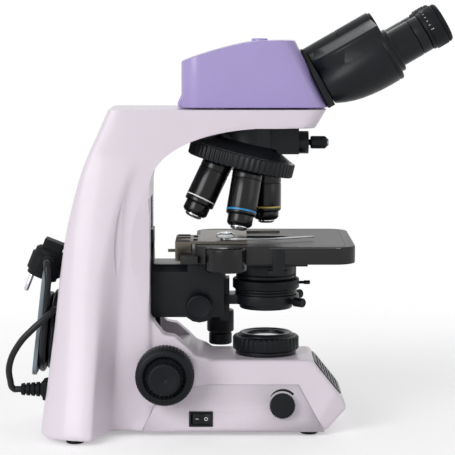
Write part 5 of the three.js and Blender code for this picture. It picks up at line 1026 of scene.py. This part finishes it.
mount_copy = eased("nosepiece_mount", 0.5, 3)
piece("mount_block", mount_copy, casting_black, "stand", ["nosepiece_mount"])
clamp = turned([(0, 34), (3, 34), (3, 44), (5.4, 44), (6.3, 45), (6.3, 58.2), (5.2, 59.6), (4.4, 60.5), (0, 60.5)], 96, edge=0.25)
gripped(clamp, 6.3, 45.4, 58.6, 6, 1.2, 1.3)
AHEAD = (Matrix.Rotation(math.pi / 2, 4, "Y"), Matrix.Translation((0, 0, 285.6)))
piece("clamp_grip", placed(clamp, *AHEAD), knob_black, "clamp", ["clamp_knob"])
clamp_tip = turned([(0, 60.3), (3.9, 60.3), (3.9, 61.4), (3.2, 62.1), (0, 62.1)], 48, edge=0.2)
piece("clamp_tip", placed(clamp_tip, *AHEAD), steel, "clamp")

# %% Objectives
OBJECTIVES = {
    # port, length, barrel radius, length of the narrow front part, band colour, band height, band gap
    "objective_4x": (1, 31, 13.2, 9, red_ring, 3.0, 2.5),
    "objective_10x": (0, 49.4, 15, 12, yellow_ring, 1.6, 3.4),
    "objective_40x": (-1, 59.3, 15, 14.4, blue_ring, 1.8, 3.2),
    "objective_100x": (-2, 59.8, 15, 14.4, white_ink, 1.3, 5.2),
}
for node, (port, length, radius, step, band_material, band_height, band_gap) in OBJECTIVES.items():
    seat = -113.2
    end = seat - length + 0.3
    front = radius - 2.4
    step_z = end + step
    band_low = step_z + band_gap
    band_high = band_low + band_height
    barrel = turned([
        (0, end + 2.6), (8.3, end + 2.6), (8.3, end + 3.2), (front - 2.4, end + 3.4), (front - 0.5, end + 5.2), (front, end + 6.2),
        (front, step_z - 0.8), (front - 0.3, step_z - 0.3), (front - 0.3, step_z), (radius - 1.3, step_z), (radius, step_z + 1.2),
        (radius, band_low - 0.02), (radius - 0.25, band_low), (radius - 0.25, band_high), (radius, band_high + 0.02),
        (radius, seat - 9.6), (radius - 0.35, seat - 9.3), (radius - 0.35, seat - 8.7), (radius, seat - 8.4),
        (radius, seat - 0.6), (radius - 0.6, seat), (9.6, seat), (9.6, seat + 4), (0, seat + 4)], 96, edge=0.12)
    piece(node + "_barrel", on_port(barrel, port), barrel_black, "nosepiece", [node], smooth=40)
    band = turned([(radius - 1, band_low), (radius - 0.04, band_low), (radius - 0.04, band_high), (radius - 1, band_high),
                   (radius - 1, band_low)], 96, edge=0)
    piece(node + "_band", on_port(band, port), band_material, "nosepiece", smooth=40)
    tip = turned([(0, end + 0.5), (4.4, end + 0.5), (4.9, end), (6.4, end), (7.0, end + 0.5), (8.2, end + 1.3), (8.6, end + 2.0),
                  (8.6, end + 2.9), (8.0, end + 3.3), (0, end + 3.3)], 72, edge=0.12)
    piece(node + "_tip", on_port(tip, port), chrome, "nosepiece", smooth=40)
    lens = turned([(0, end + 0.2), (4.2, end + 0.42), (4.2, end + 0.7), (0, end + 0.7)], 48, edge=0)
    piece(node + "_lens", on_port(lens, port), dark_glass, "nosepiece")
cap = turned([(0, -118.2), (11.6, -118.2), (13, -117.1), (13, -113.6), (12.6, -113.2), (9.6, -113.2), (9.6, -109.2), (0, -109.2)], 144,
             edge=0.2)
gripped(cap, 13, -116.9, -113.7, 24, 0.5, 1.2)
piece("socket_cap", on_port(cap, 2), knob_black, "nosepiece", ["port_cap"])
print("nosepiece with", len(OBJECTIVES), "objectives is ready")

# %% [markdown]
# ## Head
#
# The head is a lilac housing with a curved top, wide bevels and a short heel at the back. It can turn
# on its dovetail, so a thin dark joint stays open under it.

# %% Housing
HEAD_FLOOR, HEAD_REAR, HEAD_FRONT, HEAD_HALF = 321.8, -83.6, 59.5, 48
roof = [(HEAD_REAR, 366.5)]
roof += curve_points(roof[-1], (-64, 374.0), (-40, 381.4), (-16, 385.6), 10)
roof += curve_points(roof[-1], (-6, 386.8), (10, 387.0), (27, 387.0), 6)
shell = from_side([(HEAD_REAR, HEAD_FLOOR), (HEAD_FRONT, HEAD_FLOOR)] + roof[::-1], HEAD_HALF)

upright = [(x + HEAD_REAR + 121, y) for x, y in rectangle(242, 2 * HEAD_HALF, 18, 12)]
leaning = [(x + HEAD_FRONT - 121, y) for x, y in rectangle(242, 2 * HEAD_HALF, 18, 12)]
upright, leaning = slab(upright, HEAD_FLOOR - 5, 400), slab(leaning, 0, 80)
slant = Matrix.Identity(4)
slant[0][2] = (27 - HEAD_FRONT) / (387.0 - HEAD_FLOOR)
placed(leaning, Matrix.Translation((0, 0, -5)), slant, Matrix.Translation((0, 0, HEAD_FLOOR)))
shell = combined("INTERSECT", shell, upright)
shell = combined("INTERSECT", shell, leaning)
rounded(shell, 7.0, 6, sharper_than=35, only=lambda e: min(v.co.z for v in e.verts) > 350)
rounded(shell, 0.8, 3, sharper_than=40, only=lambda e: max(v.co.z for v in e.verts) < HEAD_FLOOR + 1)
print("housing:", len(shell.faces), "faces")

# %% Heel, light openings and cap
heel = from_side([(-76, 338), (-83.2, 337), (-84.2, 333), (-85.8, 329.4), (-87.3, 326.6), (-87.6, 324), (-86.6, 322.2),
                  (-84.6, HEAD_FLOOR), (-76, HEAD_FLOOR)], 28)
rounded(heel, 5, 5, only=lambda e: max(v.co.x for v in e.verts) < -80 and abs(e.verts[0].co.y - e.verts[1].co.y) < 0.1)
IN_WEDGE = Matrix.Translation((36.1, 0, 378)) @ Matrix.Rotation(math.radians(-30), 4, "Y")


def along_tube(shape, y=0.0, n=0.0):
    """Lays a turned piece along the binocular's own axis, at a place across it."""
    return placed(shape, Matrix.Rotation(math.pi / 2, 4, "Y"), Matrix.Translation((0, y, n)), IN_WEDGE)


light_well = turned([(0, 310), (16, 310), (16, 330), (0, 330)], 48, edge=0)
light_port = along_tube(turned([(0, -14), (16, -14), (16, 6), (0, 6)], 48, edge=0), 0, -18)
hollow = from_side([(-72, HEAD_FLOOR + 3.2), (44, HEAD_FLOOR + 3.2), (18, 381), (-20, 380), (-72, 364)], 40)
shell = combined("UNION", shell, heel)
shell = combined("DIFFERENCE", shell, hollow, light_well, light_port)
cap = turned([(0, 382), (8, 382), (8, 388.0), (7.1, 388.7), (0, 388.8)], 64, edge=0.35, segments=3)
shell = gathered(shell, placed(cap, Matrix.Translation((-6.8, 0, 0))))
piece("head_shell", shell, lilac, "head", ["head_housing"], smooth=38)
keep("head_dovetail", casting_black)

# %% [markdown]
# The binocular has a barrel for the hinge on top, with a seam where its two knuckles meet, and a body on
# each side. The body has a flat side below the barrel, and below that it swells round the tube. The
# swelling is turned and the flat side is bridged, so the crease between them is where they cut each
# other. Both sides start from one half, and the second is its mirror image.

# %% Half of a prism body
TUBE_ACROSS, TUBE_DOWN, HINGE_DOWN, HINGE_RADIUS = 31, -44, -18, 18
# distance along the tube, reach of the flat side, share of the swelling
FLAT_SIDE = [(0.6, 33.0, 0.0), (8, 40.6, 0.2), (16, 47.2, 0.4), (24, 51.6, 0.56), (34, 54.6, 0.72), (46, 56.1, 0.88),
             (58, 56.5, 0.97), (71.4, 56.5, 1.0)]
swelling = along_tube(turned([
    (0, 0.3), (15.6, 0.3), (17.0, 1.2), (20.6, 9), (23.6, 17.5), (25.8, 26.5), (27.2, 36), (28.1, 46), (28.4, 54), (28.4, 66),
    (27.7, 66.3), (27.7, 67.2), (28.4, 67.5), (28.4, 70.4), (27.4, 71.6), (22.4, 71.7), (22.4, 76.2), (21.6, 77), (18.5, 77),
    (18.5, 98.4), (17.9, 99), (0, 99),
], 96, edge=0.35), TUBE_ACROSS, TUBE_DOWN)
rings = []
for along, reach_out, swell in FLAT_SIDE:
    low = TUBE_DOWN - 13.5 - 11 * swell
    rings.append([(along, 0, -6), (along, 13, -6.6), (along, reach_out - 2.2, -14.2), (along, reach_out, -17.0),
                  (along, reach_out, TUBE_DOWN), (along, 37, low), (along, 24, low), (along, 0, TUBE_DOWN - 9 * swell)])
web = placed(bridged(rings), IN_WEDGE)
rounded(web, 1.0, 3, sharper_than=24)
half_body = combined("UNION", swelling, web)

OPENING = math.radians(12.6)
hinge_line = IN_WEDGE @ Vector((0, 0, HINGE_DOWN))
towards_other = IN_WEDGE.to_3x3() @ Vector((0, -math.cos(OPENING), -math.sin(OPENING)))
sliced(half_body, hinge_line, towards_other)
print("half of a prism body:", len(half_body.faces), "faces")

# %% Prism housings
piece("wedge_plate", eased("front_plate", 0.5, 3), casting_black, "head", ["front_plate"])


def hinge_barrel(radius, low, high, bore=0.0, edge=0.0):
    """A tube or a pin on the hinge between two places along it."""
    outline = [(bore, low), (radius, low), (radius, high), (bore, high)] + ([(bore, low)] if bore else [])
    return along_tube(turned(outline, 96, edge=edge, segments=3), 0, HINGE_DOWN)


for side, own, other in (("right", (36.0, 71.7), (-2, 36.0)), ("left", (0.3, 35.7), (35.7, 74))):
    body = half_body.copy()
    if side == "left":
        placed(body, Matrix.Scale(-1, 4, (0, 1, 0)))
        bmesh.ops.recalc_face_normals(body, faces=body.faces)
    across = -TUBE_ACROSS if side == "left" else TUBE_ACROSS
    tube_bore = along_tube(turned([(0, 62), (15.4, 62), (15.4, 102), (0, 102)], 64, edge=0), across, TUBE_DOWN)
    body = combined("DIFFERENCE", body, hinge_barrel(HINGE_RADIUS + 0.6, *other),
                    hinge_barrel(10, own[0] - 1.5, own[1] + 1.5), tube_bore)
    body = combined("UNION", body, hinge_barrel(HINGE_RADIUS, *own, bore=6.3, edge=0.45))
    piece("prism_body_" + side, body, casting_black, side + "_tube", ["prism_housing_" + side],
          smooth=34)
half_body.free()
print("head and binocular bodies are ready")

# %% [markdown]
# ## Eyepieces
#
# Each eyepiece drops into its tube. The diopter ring turns on it and has a scale of short strokes, and
# the rubber eyecup folds round the end.

# %% Eyepieces, diopter rings and eyecups
for side, sign in (("left", -1), ("right", 1)):
    y = sign * 31
    eyepiece = along_tube(turned([
        (0, 80), (15, 80), (15, 99.3), (17.6, 99.3), (18.3, 99.9), (18.3, 108.9), (17.6, 109.6), (13.6, 109.6), (13.6, 126.0), (10.4, 126.0),
        (9.5, 125.2), (8.5, 121.4), (0, 121.4)], 96, edge=0.25), y, -44)
    piece("ocular_" + side, eyepiece, anodised, side + "_tube", ["eyepiece_" + side])
    lens = along_tube(turned([(0, 121.2), (8.6, 121.2), (8.6, 121.8), (6, 122.7), (3, 123.1), (0, 123.3)], 64, edge=0.1), y, -44)
    piece("ocular_lens_" + side, lens, dark_glass, side + "_tube")
    ring = turned([(14, 110), (18.6, 110), (19.2, 110.6), (19.2, 113.4), (20.0, 113.7), (20.5, 114.3), (20.5, 125.4), (19.6, 126.4), (14, 126.4),
                   (14, 110)], 320, edge=0.2)
    gripped(ring, 20.5, 118.6, 125.6, 64, 0.35, 1.4)
    piece("diopter_grip_" + side, along_tube(ring, y, -44), knob_black, side + "_diopter", ["diopter_ring_" + side])
    strokes = []
    for number in range(6):
        stroke = block((20.46, 20.56), (-0.24, 0.24), (114.6, 116.4 if number else 118.0))
        strokes.append(placed(stroke, Matrix.Rotation(math.radians(sign * (90 + number * 13)), 4, "Z")))
    piece("diopter_scale_" + side, along_tube(gathered(*strokes), y, -44), white_ink, side + "_diopter")
    cup = turned([
        (12.6, 126.6), (19.6, 126.6), (20.0, 127.0), (20.0, 128.6), (19.4, 129.9), (18.0, 130.9), (16.6, 131.2), (15.6, 131.0),
        (14.8, 130.2), (13.6, 128.8), (12.6, 128.2), (12.6, 126.6),
    ], 96, edge=0.25)
    piece("soft_eyecup_" + side, along_tube(cup, y, -44), soft_black, side + "_diopter", ["eyecup_" + side])
print("eyepieces are ready")

# %% [markdown]
# ## Light, floor and backdrop
#
# A plain studio: a large soft lamp above and to the left, a weaker one from the camera's side, and an
# even sky. The floor is white paper that fades into a white background, so there is no horizon line.
# For the camera the paper glows a little, as paper that a studio lights from behind does. The glow
# reaches only what looks at the floor, so it adds no light to the object, and the shadow stays.

# %% Floor
floor_shape = bmesh.new()
bmesh.ops.create_circle(floor_shape, cap_ends=True, segments=96, radius=4.0)
floor_mesh = bpy.data.meshes.new("floor")
floor_shape.to_mesh(floor_mesh)
floor_shape.free()
floor = bpy.data.objects.new("floor", floor_mesh)
floor.location.z = -0.0005
bpy.context.scene.collection.objects.link(floor)

# %% White paper and the ray switch


def seen_directly(nodes, links):
    """One for rays from the camera, from a mirror or through glass, and zero for light."""
    path = nodes.new("ShaderNodeLightPath")
    total = path.outputs["Is Camera Ray"]
    for name in ("Is Glossy Ray", "Is Transmission Ray"):
        add = nodes.new("ShaderNodeMath")
        add.operation = "ADD"
        add.use_clamp = True
        links.new(total, add.inputs[0])
        links.new(path.outputs[name], add.inputs[1])
        total = add.outputs["Value"]
    return total


floor_material = bpy.data.materials.new("white_paper")
floor_material.use_nodes = True
nodes, links = floor_material.node_tree.nodes, floor_material.node_tree.links
nodes.remove(nodes["Principled BSDF"])
paper = nodes.new("ShaderNodeBsdfDiffuse")
paper.inputs["Color"].default_value = (0.9, 0.9, 0.9, 1)
glow = nodes.new("ShaderNodeEmission")
glow_amount = nodes.new("ShaderNodeMath")
glow_amount.operation = "MULTIPLY"
glow_amount.inputs[1].default_value = 0.33
glowing_paper = nodes.new("ShaderNodeAddShader")
clear = nodes.new("ShaderNodeBsdfTransparent")
spot = nodes.new("ShaderNodeTexCoord")
reach = nodes.new("ShaderNodeVectorMath")
reach.operation = "LENGTH"
fade = nodes.new("ShaderNodeMapRange")
fade.interpolation_type = "SMOOTHSTEP"
fade.inputs["From Min"].default_value = 0.25
fade.inputs["From Max"].default_value = 0.9
blend_floor = nodes.new("ShaderNodeMixShader")
links.new(seen_directly(nodes, links), glow_amount.inputs[0])
links.new(glow_amount.outputs["Value"], glow.inputs["Strength"])
links.new(paper.outputs["BSDF"], glowing_paper.inputs[0])
links.new(glow.outputs["Emission"], glowing_paper.inputs[1])
links.new(spot.outputs["Object"], reach.inputs[0])
links.new(reach.outputs["Value"], fade.inputs["Value"])
links.new(fade.outputs["Result"], blend_floor.inputs["Fac"])
links.new(glowing_paper.outputs["Shader"], blend_floor.inputs[1])
links.new(clear.outputs["BSDF"], blend_floor.inputs[2])
links.new(blend_floor.outputs["Shader"], nodes["Material Output"].inputs["Surface"])
floor_mesh.materials.append(floor_material)

# %% Sky
world = bpy.data.worlds.new("studio")
bpy.context.scene.world = world
world.use_nodes = True
nodes, links = world.node_tree.nodes, world.node_tree.links
sky = nodes["Background"]
sky.inputs["Color"].default_value = (1, 1, 1, 1)
sky.inputs["Strength"].default_value = 0.42
backdrop = nodes.new("ShaderNodeBackground")
backdrop.inputs["Color"].default_value = (1, 1, 1, 1)
choose = nodes.new("ShaderNodeMixShader")
links.new(seen_directly(nodes, links), choose.inputs["Fac"])
links.new(sky.outputs["Background"], choose.inputs[1])
links.new(backdrop.outputs["Background"], choose.inputs[2])
links.new(choose.outputs["Shader"], nodes["World Output"].inputs["Surface"])
print("floor and sky are ready")


# %% Lamps
def lamp(name, place, size, power):
    """A square soft lamp that looks at the middle of the object."""
    light = bpy.data.lights.new(name, "AREA")
    light.shape = "SQUARE"
    light.size = size
    light.energy = power
    thing = bpy.data.objects.new(name, light)
    thing.location = place
    thing.rotation_mode = "QUATERNION"
    thing.rotation_quaternion = (Vector((0, 0, 0.2)) - Vector(place)).to_track_quat("-Z", "Y")
    bpy.context.scene.collection.objects.link(thing)


lamp("key_lamp", (-1.35, -1.75, 0.95), 1.2, 27)
lamp("fill_lamp", (1.6, -1.1, 0.7), 1.2, 4)
lamp("back_lamp", (0.4, 1.5, 1.4), 1.2, 5)

bpy.context.scene.view_settings.view_transform = "Standard"
print("lamps:", len(bpy.data.lights))
